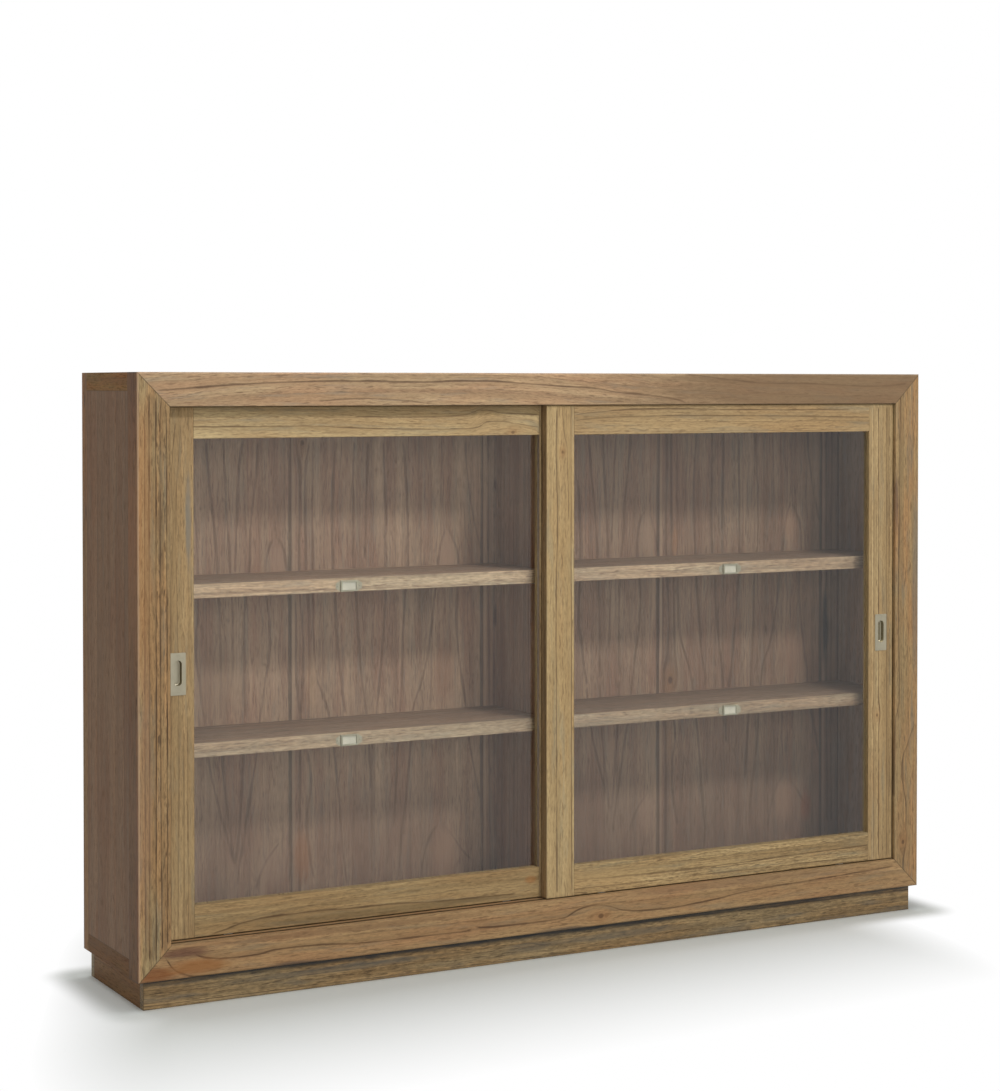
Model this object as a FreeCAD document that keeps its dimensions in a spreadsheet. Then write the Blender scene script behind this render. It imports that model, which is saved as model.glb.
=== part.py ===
import FreeCAD, Part
import math
import os
import re
import Sketcher

# A low, wide bookcase: a recessed plinth, a carcass with a mitred front frame, two bays of shelves and
# two framed glass doors that slide past each other, the left one behind the right one.
# Millimetres. The origin is at the middle of the footprint, on the floor. +X runs to the right along the
# length, +Y from the front to the back, +Z up.

SIZES = {
    # the carcass as a whole
    "overall_width": 2000,
    "overall_depth": 350,
    "overall_height": 1310,
    # plinth
    "plinth_height": 60,
    "plinth_setback": 15,
    "plinth_back_setback": 5,
    "plinth_thickness": 20,
    "corner_block_size": 40,
    # mitred front frame
    "frame_width": 71,
    "frame_depth": 58,
    "frame_outer_radius": 4,
    "edge_radius": 1.5,
    # sides, top and floor boards
    "side_thickness": 20,
    "side_rail_height": 39,
    "back_stile_width": 32,
    "top_thickness": 22,
    "floor_thickness": 22,
    "divider_thickness": 20,
    "divider_setback": 4,
    # back boards and the rails behind them
    "back_inset": 40,
    "back_thickness": 12,
    "back_end_leaf": 53.5,
    "back_first_trim": 39.5,
    "back_rail_thickness": 20,
    "back_rail_height": 40,
    # shelves, with the heights of their upper faces over the floor board
    "shelf_thickness": 30,
    "shelf_setback": 14,
    "shelf_end_gap": 1,
    "shelf_edge_radius": 1,
    "lower_shelf_rise": 401,
    "upper_shelf_rise": 735.5,
    # shelf pins
    "pin_radius": 2.5,
    "pin_length": 16,
    "pin_hole_depth": 8,
    "pin_hole_gap": 0.05,
    "pin_inset": 40,
    # label holders on the shelf edges
    "label_width": 62,
    "label_height": 24,
    "label_drop": 5,
    "label_plate": 0.8,
    "label_ear_tip": 11,
    "label_frame_width": 40,
    "label_frame_rise": 4,
    "label_rim": 3.5,
    "label_inner_gap": 0.4,
    "card_thickness": 0.4,
    "label_pin_radius": 0.7,
    "label_pin_length": 9,
    "label_pin_head_radius": 1.7,
    "label_pin_head": 0.9,
    "label_pin_inset": 4.5,
    "label_pin_gap": 0.05,
    # doors
    "door_thickness": 22,
    "door_front_gap": 8,
    "door_spacing": 4,
    "door_back_gap": 2,
    "door_overlap": 68,
    "door_tuck": 8,
    "door_side_gap": 2,
    "door_floor_gap": 2.5,
    "door_head_gap": 2,
    "stile_width": 72,
    "top_rail_height": 65,
    "bottom_rail_height": 68,
    "door_edge_radius": 1,
    "tenon_length": 25,
    "tenon_thickness": 7,
    "tenon_shoulder": 8,
    "tenon_haunch": 4,
    "tenon_gap": 0.1,
    "tongue_thickness": 8,
    "tongue_height": 9,
    "tongue_side_gap": 1,
    "tongue_lift_room": 5,
    # glass and its beads
    "glass_thickness": 4,
    "glass_lip": 9,
    "glass_rebate": 10,
    "glass_edge_gap": 1.5,
    # wheels, housings and the tracks let into the sill
    "wheel_radius": 12,
    "wheel_width": 5,
    "wheel_chamfer": 0.6,
    "wheel_inset": 150,
    "wheel_bore_gap": 0.05,
    "wheel_floor_gap": 0.3,
    "wheel_side_gap": 0.7,
    "wheel_room": 1.5,
    "axle_radius": 1.5,
    "track_height": 6,
    "track_wall": 1.8,
    "track_base": 1,
    "housing_wall": 3,
    "housing_end": 8.5,
    "housing_roof": 5.7,
    "housing_side_gap": 0.5,
    "housing_fit": 0.1,
    # flush pulls
    "pull_width": 34,
    "pull_height": 88,
    "pull_plate": 1.5,
    "pull_corner_radius": 2,
    "pull_slot_width": 17,
    "pull_slot_height": 53,
    "pull_slot_rise": 2,
    "pull_depth": 10,
    "pull_wall": 1,
    "pull_floor_radius": 2.5,
    "pull_fit": 0.2,
    "screw_radius": 1.4,
    "screw_head_radius": 2.8,
    "screw_head_height": 1.3,
    "screw_length": 14,
    "screw_slot": 0.7,
    "screw_inset": 5.3,
    "screw_gap": 0.05,
}

# Places and lengths that follow from the sizes, as expressions over the sheet.
LEFT = "(-overall_width / 2)"
RIGHT = "(overall_width / 2)"
FRONT = "(-overall_depth / 2)"
REAR = "(overall_depth / 2)"
CARCASS_HEIGHT = "(overall_height - plinth_height)"
FRAME_BACK = f"({FRONT} + frame_depth)"
OPEN_LEFT = f"({LEFT} + frame_width)"
OPEN_RIGHT = f"({RIGHT} - frame_width)"
OPEN_WIDTH = "(overall_width - 2 * frame_width)"
OPEN_BOTTOM = "(plinth_height + frame_width)"
OPEN_HEIGHT = f"({CARCASS_HEIGHT} - 2 * frame_width)"
INNER_LEFT = f"({LEFT} + side_thickness)"
INNER_WIDTH = "(overall_width - 2 * side_thickness)"
TOP_UNDERSIDE = "(overall_height - top_thickness)"
BACK_FACE = f"({REAR} - back_inset - back_thickness)"
BAY_WIDTH = f"(({INNER_WIDTH} - divider_thickness) / 2)"
BAY_LEFT = {
    "left": INNER_LEFT,
    "right": "(divider_thickness / 2)",
}
SHELF_TOP = {
    "lower": f"({OPEN_BOTTOM} + lower_shelf_rise)",
    "upper": f"({OPEN_BOTTOM} + upper_shelf_rise)",
}
SHELF_FRONT = f"({FRAME_BACK} + shelf_setback)"
SHELF_DEPTH = f"({BACK_FACE} - {SHELF_FRONT})"

DOOR_WIDTH = f"(({OPEN_WIDTH} + door_tuck - door_side_gap + door_overlap) / 2)"
DOOR_HEIGHT = f"({OPEN_HEIGHT} - door_floor_gap - door_head_gap)"
DOOR_BOTTOM = f"({OPEN_BOTTOM} + door_floor_gap)"
DOOR_LEFT = {
    "left": f"({OPEN_LEFT} - door_tuck)",
    "right": f"({OPEN_RIGHT} - door_side_gap - {DOOR_WIDTH})",
}
DOOR_FRONT = {
    "right": f"({FRONT} + door_front_gap)",
    "left": f"({FRONT} + door_front_gap + door_thickness + door_spacing)",
}
RAIL_LENGTH = f"({DOOR_WIDTH} - 2 * stile_width)"
GLASS_OPENING = f"({DOOR_HEIGHT} - top_rail_height - bottom_rail_height)"
TOP_RAIL_BOTTOM = f"({DOOR_HEIGHT} - top_rail_height)"
TONGUE_FRONT = "((door_thickness - tongue_thickness) / 2)"
TENON_FRONT = "((door_thickness - tenon_thickness) / 2)"
BOTTOM_TENON = "(bottom_rail_height - glass_rebate - tenon_haunch - tenon_shoulder)"
TOP_TENON = "(top_rail_height - glass_rebate - tenon_haunch - tenon_shoulder)"
MORTISE_DEPTH = "(tenon_length + tenon_gap)"
MORTISES = (
    ("bottom", "tenon_shoulder", BOTTOM_TENON),
    ("top", f"({TOP_RAIL_BOTTOM} + glass_rebate + tenon_haunch)", TOP_TENON),
)

HEAD_GROOVE_WIDTH = "(tongue_thickness + 2 * tongue_side_gap)"
HEAD_GROOVE_DEPTH = "(tongue_height - door_head_gap + tongue_lift_room)"
TRACK_SLOT = "(wheel_width + 2 * wheel_side_gap)"
TRACK_WIDTH = f"({TRACK_SLOT} + 2 * track_wall)"
TRACK_CENTRE = {side: f"({DOOR_FRONT[side]} + door_thickness / 2)" for side in DOOR_FRONT}
WHEEL_HEIGHT = f"({OPEN_BOTTOM} - track_height + track_base + wheel_floor_gap + wheel_radius)"
HOUSING_LENGTH = "(2 * (wheel_radius + wheel_room + housing_end))"
HOUSING_WIDTH = "(wheel_width + 2 * (housing_side_gap + housing_wall))"
WHEEL_SPACE = f"({WHEEL_HEIGHT} - {DOOR_BOTTOM} + wheel_radius + wheel_room)"
HOUSING_HEIGHT = f"({WHEEL_SPACE} + housing_roof)"
CUP_WIDTH = "(pull_slot_width + 2 * pull_wall)"
CUP_HEIGHT = "(pull_slot_height + 2 * pull_wall)"
LABEL_SLOT_DEPTH = "(card_thickness + 2 * label_inner_gap)"

STANDING = FreeCAD.Rotation(FreeCAD.Vector(1, 0, 0), 90)  # turns a piece drawn flat to face the front
TURN_RIGHT = FreeCAD.Rotation(FreeCAD.Vector(0, 1, 0), 90)  # turns an upright piece to lie along +X

doc = FreeCAD.newDocument("sliding_door_bookcase")
sheet = doc.addObject("Spreadsheet::Sheet", "sizes")
for row, (alias, number) in enumerate(SIZES.items(), start=1):
    sheet.set(f"A{row}", alias)
    sheet.set(f"B{row}", str(number))
    sheet.setAlias(f"B{row}", alias)
doc.recompute()

nodes = []


def on_sheet(text):
    """The expression with each size's name turned into its cell on the sheet."""
    return re.sub(r"[a-z][a-z_]+", lambda word: f"sizes.{word.group(0)}", text)


def size_of(alias):
    """The number in a size's cell."""
    return float(sheet.get(alias))


def place(piece, at):
    """Binds the piece's position to three expressions."""
    for axis, text in zip("xyz", at):
        piece.setExpression(f"Placement.Base.{axis}", on_sheet(text))


def as_node(piece, label):
    """Lists the piece as a sub-part of its own, under its label."""
    piece.Label = label
    nodes.append(piece)
    return piece


def new_body(label, at, rotation=None):
    """An empty body whose origin is at the given place."""
    body = doc.addObject("PartDesign::Body", label)
    if rotation:
        body.Placement.Rotation = rotation
    place(body, at)
    return body


def new_sketch(body, name, plane="XY_Plane", offset=("0", "0", "0")):
    """A sketch on one of the body's own origin planes, moved by the offset in the plane's own axes."""
    sketch = body.newObject("Sketcher::SketchObject", f"{body.Name}_{name}_sketch")
    support = next(item for item in body.Origin.OriginFeatures if item.Role == plane)
    sketch.AttachmentSupport = (support, [""])
    sketch.MapMode = "FlatFace"
    for axis, text in zip("xyz", offset):
        sketch.setExpression(f"AttachmentOffset.Base.{axis}", on_sheet(text))
    return sketch


def bind(sketch, constraint, text):
    """Adds a dimension to the sketch and ties it to an expression."""
    index = sketch.addConstraint(constraint)
    sketch.setExpression(f"Constraints[{index}]", on_sheet(text))


def bind_point(sketch, edge, kind, axis_line, text):
    """Ties the start of an edge to its distance from an axis; a leading minus puts it on the low side."""
    if text == "0":
        sketch.addConstraint(Sketcher.Constraint("PointOnObject", edge, 1, axis_line))
    elif text.startswith("-"):
        bind(sketch, Sketcher.Constraint(kind, edge, 1, -1, 1, 10.0), text[1:])
    else:
        bind(sketch, Sketcher.Constraint(kind, -1, 1, edge, 1, 10.0), text)


def polygon(sketch, corners):
    """A closed outline; each coordinate is 0 or one product or bracket, with a minus for the low side."""
    count = len(corners)
    angles = [2 * math.pi * step / count for step in range(count)]
    rough = [FreeCAD.Vector(10 * math.cos(angle), 10 * math.sin(angle), 0) for angle in angles]
    for edge in range(count):
        sketch.addGeometry(Part.LineSegment(rough[edge], rough[(edge + 1) % count]), False)
    for edge in range(count):
        sketch.addConstraint(Sketcher.Constraint("Coincident", edge, 2, (edge + 1) % count, 1))
    for edge, (across, along) in enumerate(corners):
        bind_point(sketch, edge, "DistanceX", -2, across)
        bind_point(sketch, edge, "DistanceY", -1, along)


def rectangle(sketch, across, along):
    """A rectangle from the sketch's origin."""
    polygon(sketch, [("0", "0"), (across, "0"), (across, along), ("0", along)])


def stadium(sketch, across, along):
    """An upright slot with round ends, centred on the sketch's origin."""
    up = FreeCAD.Vector(0, 0, 1)
    top = FreeCAD.Vector(0, 20, 0)
    low = FreeCAD.Vector(0, -20, 0)
    side = FreeCAD.Vector(10, 0, 0)
    sketch.addGeometry(Part.ArcOfCircle(Part.Circle(top, up, 10), 0, math.pi), False)
    sketch.addGeometry(Part.ArcOfCircle(Part.Circle(low, up, 10), math.pi, 2 * math.pi), False)
    sketch.addGeometry(Part.LineSegment(top - side, low - side), False)
    sketch.addGeometry(Part.LineSegment(low + side, top + side), False)
    for first, last, second, start in ((0, 2, 2, 1), (2, 2, 1, 1), (1, 2, 3, 1), (3, 2, 0, 1)):
        sketch.addConstraint(Sketcher.Constraint("Tangent", first, last, second, start))
    sketch.addConstraint(Sketcher.Constraint("Equal", 0, 1))
    sketch.addConstraint(Sketcher.Constraint("PointOnObject", 0, 3, -2))
    sketch.addConstraint(Sketcher.Constraint("Symmetric", 0, 3, 1, 3, -1, 1))
    bind(sketch, Sketcher.Constraint("Radius", 0, 10.0), f"{across} / 2")
    bind(sketch, Sketcher.Constraint("DistanceY", 1, 3, 0, 3, 40.0), f"{along} - {across}")


def circle(sketch, radius):
    """A circle round the sketch's origin."""
    centre = FreeCAD.Vector(0, 0, 0)
    sketch.addGeometry(Part.Circle(centre, FreeCAD.Vector(0, 0, 1), 5), False)
    sketch.addConstraint(Sketcher.Constraint("Coincident", 0, 3, -1, 1))
    bind(sketch, Sketcher.Constraint("Radius", 0, 5.0), radius)


def pad(body, name, sketch, length, reverse=False, both_ways=False):
    """Adds the sketch's outline to the body, along the sketch's normal."""
    feature = body.newObject("PartDesign::Pad", f"{body.Name}_{name}")
    feature.Profile = sketch
    feature.Reversed = reverse
    feature.Midplane = both_ways
    feature.setExpression("Length", on_sheet(length))
    return feature


def pocket(body, name, sketch, length=None, towards_normal=True):
    """Cuts the sketch's outline out of the body, along its normal, or right through both ways."""
    feature = body.newObject("PartDesign::Pocket", f"{body.Name}_{name}")
    feature.Profile = sketch
    if length is None:
        feature.Type = "ThroughAll"
        feature.Midplane = True
    else:
        feature.Reversed = towards_normal
        feature.setExpression("Length", on_sheet(length))
    return feature


def add_box(body, name, at, size):
    """Pads a block whose low corner is at the given place in the body."""
    sketch = new_sketch(body, name, offset=at)
    rectangle(sketch, size[0], size[1])
    return pad(body, name, sketch, size[2])


def cut_box(body, name, at, size):
    """Cuts a block whose low corner is at the given place in the body."""
    sketch = new_sketch(body, name, offset=at)
    rectangle(sketch, size[0], size[1])
    return pocket(body, name, sketch, size[2])


def board(label, at, size):
    """A rectangular board as a sub-part, with its low corner at the given place."""
    body = new_body(label, at)
    add_box(body, "blank", ("0", "0", "0"), size)
    return as_node(body, label)


def mitre(body, name, corner, across, along):
    """Cuts a mitre at one end: a triangle with its right angle at the corner, through the whole depth."""
    sketch = new_sketch(body, name, "XZ_Plane", (corner[0], corner[1], "0"))
    polygon(sketch, [("0", "0"), (across, "0"), ("0", along)])
    return pocket(body, name, sketch)


def lies_in(edge, box, side):
    """Whether the edge's box lies in the named side of the box round the body."""
    low, high = {
        "left": (edge.XMin, edge.XMax),
        "right": (edge.XMin, edge.XMax),
        "front": (edge.YMin, edge.YMax),
        "back": (edge.YMin, edge.YMax),
        "bottom": (edge.ZMin, edge.ZMax),
        "top": (edge.ZMin, edge.ZMax),
    }[side]
    plane = {
        "left": box.XMin,
        "right": box.XMax,
        "front": box.YMin,
        "back": box.YMax,
        "bottom": box.ZMin,
        "top": box.ZMax,
    }[side]
    return abs(low - plane) < 0.001 and abs(high - plane) < 0.001


def edges_between(shape, pairs):
    """Names of the edges where two sides of the body meet, for each pair of sides."""
    names = []
    for number, edge in enumerate(shape.Edges, start=1):
        for first, second in pairs:
            if all(lies_in(edge.BoundBox, shape.BoundBox, side) for side in (first, second)):
                names.append(f"Edge{number}")
    return names


def level_edges(body, level, width=None):
    """Names of the edges that lie flat at a height in the body, with a given width if one is named."""
    names = []
    for number, edge in enumerate(body.Tip.Shape.Edges, start=1):
        box = edge.BoundBox
        if abs(box.ZMin - level) > 0.001 or abs(box.ZMax - level) > 0.001:
            continue
        if width is None or abs(box.XLength - width) < 0.001:
            names.append(f"Edge{number}")
    return names


def dress(body, kind, name, edges, size):
    """Adds a Fillet or a Chamfer on the given edges of the body's last feature."""
    base = body.Tip
    feature = body.newObject(f"PartDesign::{kind}", f"{body.Name}_{name}")
    feature.Base = (base, edges)
    feature.setExpression("Radius" if kind == "Fillet" else "Size", on_sheet(size))
    return feature


def ease(body, name, pairs, radius):
    """Rounds the edges where the paired sides of the body meet."""
    doc.recompute()
    return dress(body, "Fillet", name, edges_between(body.Tip.Shape, pairs), radius)


def group(label, template, places):
    """One sub-part of several equal, separate solids: copies of the template at the given places."""
    copies = []
    for number, at in enumerate(places, start=1):
        copy = doc.addObject("App::Link", f"{label}_{number}")
        copy.LinkedObject = template
        copy.Placement.Rotation = template.Placement.Rotation
        place(copy, at)
        copies.append(copy)
    compound = doc.addObject("Part::Compound", label)
    compound.Links = copies
    return as_node(compound, label)


# Plinth: four boards on edge, set in from the carcass, with a block in each corner.
PLINTH_LEFT = f"({LEFT} + plinth_setback)"
PLINTH_FRONT = f"({FRONT} + plinth_setback)"
PLINTH_LENGTH = "(overall_width - 2 * plinth_setback)"
PLINTH_BACK = f"({REAR} - plinth_back_setback - plinth_thickness)"
PLINTH_INNER_LEFT = f"({PLINTH_LEFT} + plinth_thickness)"
PLINTH_INNER_RIGHT = f"(-{PLINTH_INNER_LEFT})"
PLINTH_INNER_FRONT = f"({PLINTH_FRONT} + plinth_thickness)"
PLINTH_INNER_DEPTH = f"({PLINTH_BACK} - {PLINTH_INNER_FRONT})"

for label, front in (("plinth_front", PLINTH_FRONT), ("plinth_back", PLINTH_BACK)):
    body = board(label, (PLINTH_LEFT, front, "0"), (PLINTH_LENGTH, "plinth_thickness", "plinth_height"))
    outer = "front" if label == "plinth_front" else "back"
    ease(body, "ends", [(outer, "left"), (outer, "right")], "edge_radius")
for label, left in (("plinth_left", PLINTH_LEFT), ("plinth_right", PLINTH_INNER_RIGHT)):
    board(
        label,
        (left, PLINTH_INNER_FRONT, "0"),
        ("plinth_thickness", PLINTH_INNER_DEPTH, "plinth_height"),
    )
block = new_body("corner_block", ("0", "0", "0"))
add_box(block, "blank", ("0", "0", "0"), ("corner_block_size", "corner_block_size", "plinth_height"))
block_places = []
for left in (PLINTH_INNER_LEFT, f"({PLINTH_INNER_RIGHT} - corner_block_size)"):
    for front in (PLINTH_INNER_FRONT, f"({PLINTH_BACK} - corner_block_size)"):
        block_places.append((left, front, "0"))
group("plinth_corner_blocks", block, block_places)

# Front frame: head, sill and two jambs, mitred at the corners.
head = board(
    "frame_head",
    (LEFT, FRONT, "overall_height - frame_width"),
    ("overall_width", "frame_depth", "frame_width"),
)
mitre(head, "left_mitre", ("0", "0"), "frame_width", "frame_width")
mitre(head, "right_mitre", ("overall_width", "0"), "-frame_width", "frame_width")
for side, centre in TRACK_CENTRE.items():
    groove_front = f"{centre} - {FRONT} - {HEAD_GROOVE_WIDTH} / 2"
    cut_box(
        head,
        f"{side}_groove",
        ("0", groove_front, "0"),
        ("overall_width", HEAD_GROOVE_WIDTH, HEAD_GROOVE_DEPTH),
    )
ease(head, "outer_edge", [("front", "top")], "frame_outer_radius")
ease(head, "inner_edge", [("front", "bottom")], "edge_radius")

sill = board("frame_sill", (LEFT, FRONT, "plinth_height"), ("overall_width", "frame_depth", "frame_width"))
mitre(sill, "left_mitre", ("0", "frame_width"), "frame_width", "-frame_width")
mitre(sill, "right_mitre", ("overall_width", "frame_width"), "-frame_width", "-frame_width")
for side, centre in TRACK_CENTRE.items():
    cut_box(
        sill,
        f"{side}_groove",
        ("0", f"{centre} - {FRONT} - {TRACK_WIDTH} / 2", "frame_width - track_height"),
        ("overall_width", TRACK_WIDTH, "track_height"),
    )
ease(sill, "outer_edge", [("front", "bottom")], "frame_outer_radius")
ease(sill, "inner_edge", [("front", "top")], "edge_radius")

# The rear door tucks into a rebate in the back of each jamb.
REBATE_WIDTH = "(door_tuck + door_side_gap)"
REBATE_FRONT = f"({DOOR_FRONT['left']} - {FRONT} - door_back_gap)"
for side, left, rebate_left in (
    ("left", LEFT, f"frame_width - {REBATE_WIDTH}"),
    ("right", OPEN_RIGHT, "0"),
):
    jamb = board(
        f"frame_jamb_{side}",
        (left, FRONT, "plinth_height"),
        ("frame_width", "frame_depth", CARCASS_HEIGHT),
    )
    inner = "frame_width" if side == "left" else "0"
    across = "-frame_width" if side == "left" else "frame_width"
    mitre(jamb, "top_mitre", (inner, CARCASS_HEIGHT), across, "-frame_width")
    mitre(jamb, "bottom_mitre", (inner, "0"), across, "frame_width")
    cut_box(
        jamb,
        "door_rebate",
        (rebate_left, REBATE_FRONT, "frame_width"),
        (REBATE_WIDTH, f"(frame_depth - {REBATE_FRONT})", f"({OPEN_HEIGHT} + {HEAD_GROOVE_DEPTH})"),
    )
    opposite = "right" if side == "left" else "left"
    ease(jamb, "outer_edge", [("front", side)], "frame_outer_radius")
    ease(jamb, "inner_edge", [("front", opposite)], "edge_radius")

# Sides: a flush panel between a top rail, a bottom rail and a back stile, all behind the jamb.
SIDE_LENGTH = f"({REAR} - {FRAME_BACK})"
PANEL_LENGTH = f"({SIDE_LENGTH} - back_stile_width)"
PANEL_BOTTOM = "(plinth_height + side_rail_height)"
PANEL_HEIGHT = f"({CARCASS_HEIGHT} - 2 * side_rail_height)"
TOP_RAIL_AT = "(overall_height - side_rail_height)"
PIN_DEPTHS = (f"({SHELF_FRONT} + pin_inset)", f"({BACK_FACE} - pin_inset)")
PIN_HEIGHTS = [f"({top} - shelf_thickness - pin_radius)" for top in SHELF_TOP.values()]


def drill_pin_holes(body, face, towards, corner):
    """Drills the four holes of one bay's shelf pins into an upright board, from its face."""
    for row, height in enumerate(PIN_HEIGHTS):
        for column, depth in enumerate(PIN_DEPTHS):
            name = f"pin_hole_{towards}_{row}_{column}"
            offset = (f"{depth} - {corner[1]}", f"{height} - {corner[2]}", face)
            sketch = new_sketch(body, name, "YZ_Plane", offset)
            circle(sketch, "pin_radius + pin_hole_gap")
            pocket(body, name, sketch, "pin_hole_depth", towards == "right")


for side, left in (("left", LEFT), ("right", f"({RIGHT} - side_thickness)")):
    panel_corner = (left, FRAME_BACK, PANEL_BOTTOM)
    panel = board(f"{side}_side_panel", panel_corner, ("side_thickness", PANEL_LENGTH, PANEL_HEIGHT))
    if side == "left":
        drill_pin_holes(panel, "side_thickness", "left", panel_corner)
    else:
        drill_pin_holes(panel, "0", "right", panel_corner)
    top_rail = board(
        f"{side}_side_top_rail",
        (left, FRAME_BACK, TOP_RAIL_AT),
        ("side_thickness", PANEL_LENGTH, "side_rail_height"),
    )
    ease(top_rail, "outer_edge", [(side, "top")], "edge_radius")
    bottom_rail = board(
        f"{side}_side_bottom_rail",
        (left, FRAME_BACK, "plinth_height"),
        ("side_thickness", PANEL_LENGTH, "side_rail_height"),
    )
    ease(bottom_rail, "outer_edge", [(side, "bottom")], "edge_radius")
    back_stile = board(
        f"{side}_side_back_stile",
        (left, f"{REAR} - back_stile_width", "plinth_height"),
        ("side_thickness", "back_stile_width", CARCASS_HEIGHT),
    )
    ease(back_stile, "outer_edges", [(side, "back"), (side, "top"), (side, "bottom")], "edge_radius")

# Top board, floor board and the divider between the bays.
board(
    "top_board",
    (INNER_LEFT, FRAME_BACK, TOP_UNDERSIDE),
    (INNER_WIDTH, SIDE_LENGTH, "top_thickness"),
)
board(
    "bottom_board",
    (INNER_LEFT, FRAME_BACK, f"{OPEN_BOTTOM} - floor_thickness"),
    (INNER_WIDTH, f"({BACK_FACE} - {FRAME_BACK})", "floor_thickness"),
)
divider_corner = ("-divider_thickness / 2", f"({FRAME_BACK} + divider_setback)", OPEN_BOTTOM)
divider = board(
    "centre_divider",
    divider_corner,
    ("divider_thickness", f"({BACK_FACE} - {divider_corner[1]})", f"({TOP_UNDERSIDE} - {OPEN_BOTTOM})"),
)
drill_pin_holes(divider, "0", "right", divider_corner)
drill_pin_holes(divider, "divider_thickness", "left", divider_corner)
ease(divider, "front_edges", [("front", "left"), ("front", "right")], "edge_radius")

# Back: four wide veneered boards, the first one trimmed, and a narrow one at the right end.
LEAF_WIDTH = f"(({INNER_WIDTH} + back_first_trim - back_end_leaf) / 4)"
for number in range(1, 6):
    joint = f"{INNER_LEFT} - back_first_trim + {number - 1} * {LEAF_WIDTH}"
    left = INNER_LEFT if number == 1 else joint
    width = LEAF_WIDTH
    if number == 1:
        width = f"({LEAF_WIDTH} - back_first_trim)"
    if number == 5:
        width = "back_end_leaf"
    board(
        f"back_board_{number}",
        (left, BACK_FACE, "plinth_height"),
        (width, "back_thickness", f"({TOP_UNDERSIDE} - plinth_height)"),
    )
for label, bottom in (
    ("back_top_rail", f"{TOP_UNDERSIDE} - back_rail_height"),
    ("back_bottom_rail", "plinth_height"),
):
    board(
        label,
        (INNER_LEFT, f"{BACK_FACE} + back_thickness", bottom),
        (INNER_WIDTH, "back_rail_thickness", "back_rail_height"),
    )

# Shelves on pins, with a label holder in the middle of each front edge.
LABEL_CENTRE = {bay: f"({left} + {BAY_WIDTH} / 2)" for bay, left in BAY_LEFT.items()}
pin_places = []
label_places = []
card_places = []
label_pin_places = []
for bay, bay_left in BAY_LEFT.items():
    for level, top in SHELF_TOP.items():
        shelf = board(
            f"shelf_{bay}_{level}",
            (f"{bay_left} + shelf_end_gap", SHELF_FRONT, f"{top} - shelf_thickness"),
            (f"({BAY_WIDTH} - 2 * shelf_end_gap)", SHELF_DEPTH, "shelf_thickness"),
        )
        label_middle = f"({top} - label_drop - label_height / 2)"
        label_places.append((LABEL_CENTRE[bay], SHELF_FRONT, label_middle))
        card_places.append((LABEL_CENTRE[bay], f"{SHELF_FRONT} - label_inner_gap", label_middle))
        for sign in ("-", "+"):
            label_pin_x = f"{LABEL_CENTRE[bay]} {sign} (label_width / 2 - label_pin_inset)"
            label_pin_places.append((label_pin_x, SHELF_FRONT, label_middle))
            across = f"({BAY_WIDTH} / 2 - shelf_end_gap) {sign} (label_width / 2 - label_pin_inset)"
            height = "shelf_thickness - label_drop - label_height / 2"
            end = "left" if sign == "-" else "right"
            hole = new_sketch(shelf, f"{end}_pin_hole", "XZ_Plane", (across, height, "0"))
            circle(hole, "label_pin_radius + label_pin_gap")
            depth = "label_pin_length - label_plate + label_pin_gap"
            pocket(shelf, f"{end}_pin_hole", hole, depth, towards_normal=False)
        ease(shelf, "front_edges", [("front", "top"), ("front", "bottom")], "shelf_edge_radius")
    for height in PIN_HEIGHTS:
        for depth in PIN_DEPTHS:
            pin_places.append((f"{bay_left} - pin_hole_depth", depth, height))
            pin_places.append((f"{bay_left} + {BAY_WIDTH} + pin_hole_depth - pin_length", depth, height))

pin = doc.addObject("Part::Cylinder", "shelf_pin")
pin.setExpression("Radius", on_sheet("pin_radius"))
pin.setExpression("Height", on_sheet("pin_length"))
pin.Placement.Rotation = TURN_RIGHT
group("shelf_pins", pin, pin_places)

# A label holder: a thin plate with tapered ears and a raised window frame, open inside for the card.
holder = new_body("label_holder", ("0", "0", "0"), STANDING)
outline = new_sketch(holder, "plate")
shoulder = "label_frame_width / 2"
polygon(outline, [
    ("-label_width / 2", "-label_ear_tip / 2"),
    (f"-{shoulder}", "-label_height / 2"),
    (shoulder, "-label_height / 2"),
    ("label_width / 2", "-label_ear_tip / 2"),
    ("label_width / 2", "label_ear_tip / 2"),
    (shoulder, "label_height / 2"),
    (f"-{shoulder}", "label_height / 2"),
    ("-label_width / 2", "label_ear_tip / 2"),
])
pad(holder, "plate", outline, "label_plate")
add_box(
    holder,
    "window_frame",
    (f"-{shoulder}", "-label_height / 2", "0"),
    ("label_frame_width", "label_height", "label_frame_rise"),
)
window = (
    "(label_frame_width - 2 * label_rim)",
    "(label_height - 2 * label_rim)",
    f"(label_frame_rise - {LABEL_SLOT_DEPTH})",
)
cut_box(
    holder,
    "window",
    (f"-{window[0]} / 2", f"-{window[1]} / 2", LABEL_SLOT_DEPTH),
    window,
)
card_room = ("(label_frame_width - label_rim)", "(label_height - label_rim)")
cut_box(
    holder,
    "card_slot",
    (f"-{card_room[0]} / 2", f"-{card_room[1]} / 2", "0"),
    (card_room[0], card_room[1], LABEL_SLOT_DEPTH),
)
for number, sign in enumerate(("-", "")):
    hole = new_sketch(holder, f"pin_hole_{number}", offset=(f"{sign}(label_width / 2 - label_pin_inset)", "0", "0"))
    circle(hole, "label_pin_radius")
    pocket(holder, f"pin_hole_{number}", hole, "label_plate")
group("label_holders", holder, label_places)

card = new_body("card", ("0", "0", "0"), STANDING)
card_size = (f"({card_room[0]} - 2 * label_inner_gap)", f"({card_room[1]} - 2 * label_inner_gap)")
add_box(
    card,
    "sheet",
    (f"-{card_size[0]} / 2", f"-{card_size[1]} / 2", "0"),
    (card_size[0], card_size[1], "card_thickness"),
)
group("label_cards", card, card_places)

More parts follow.
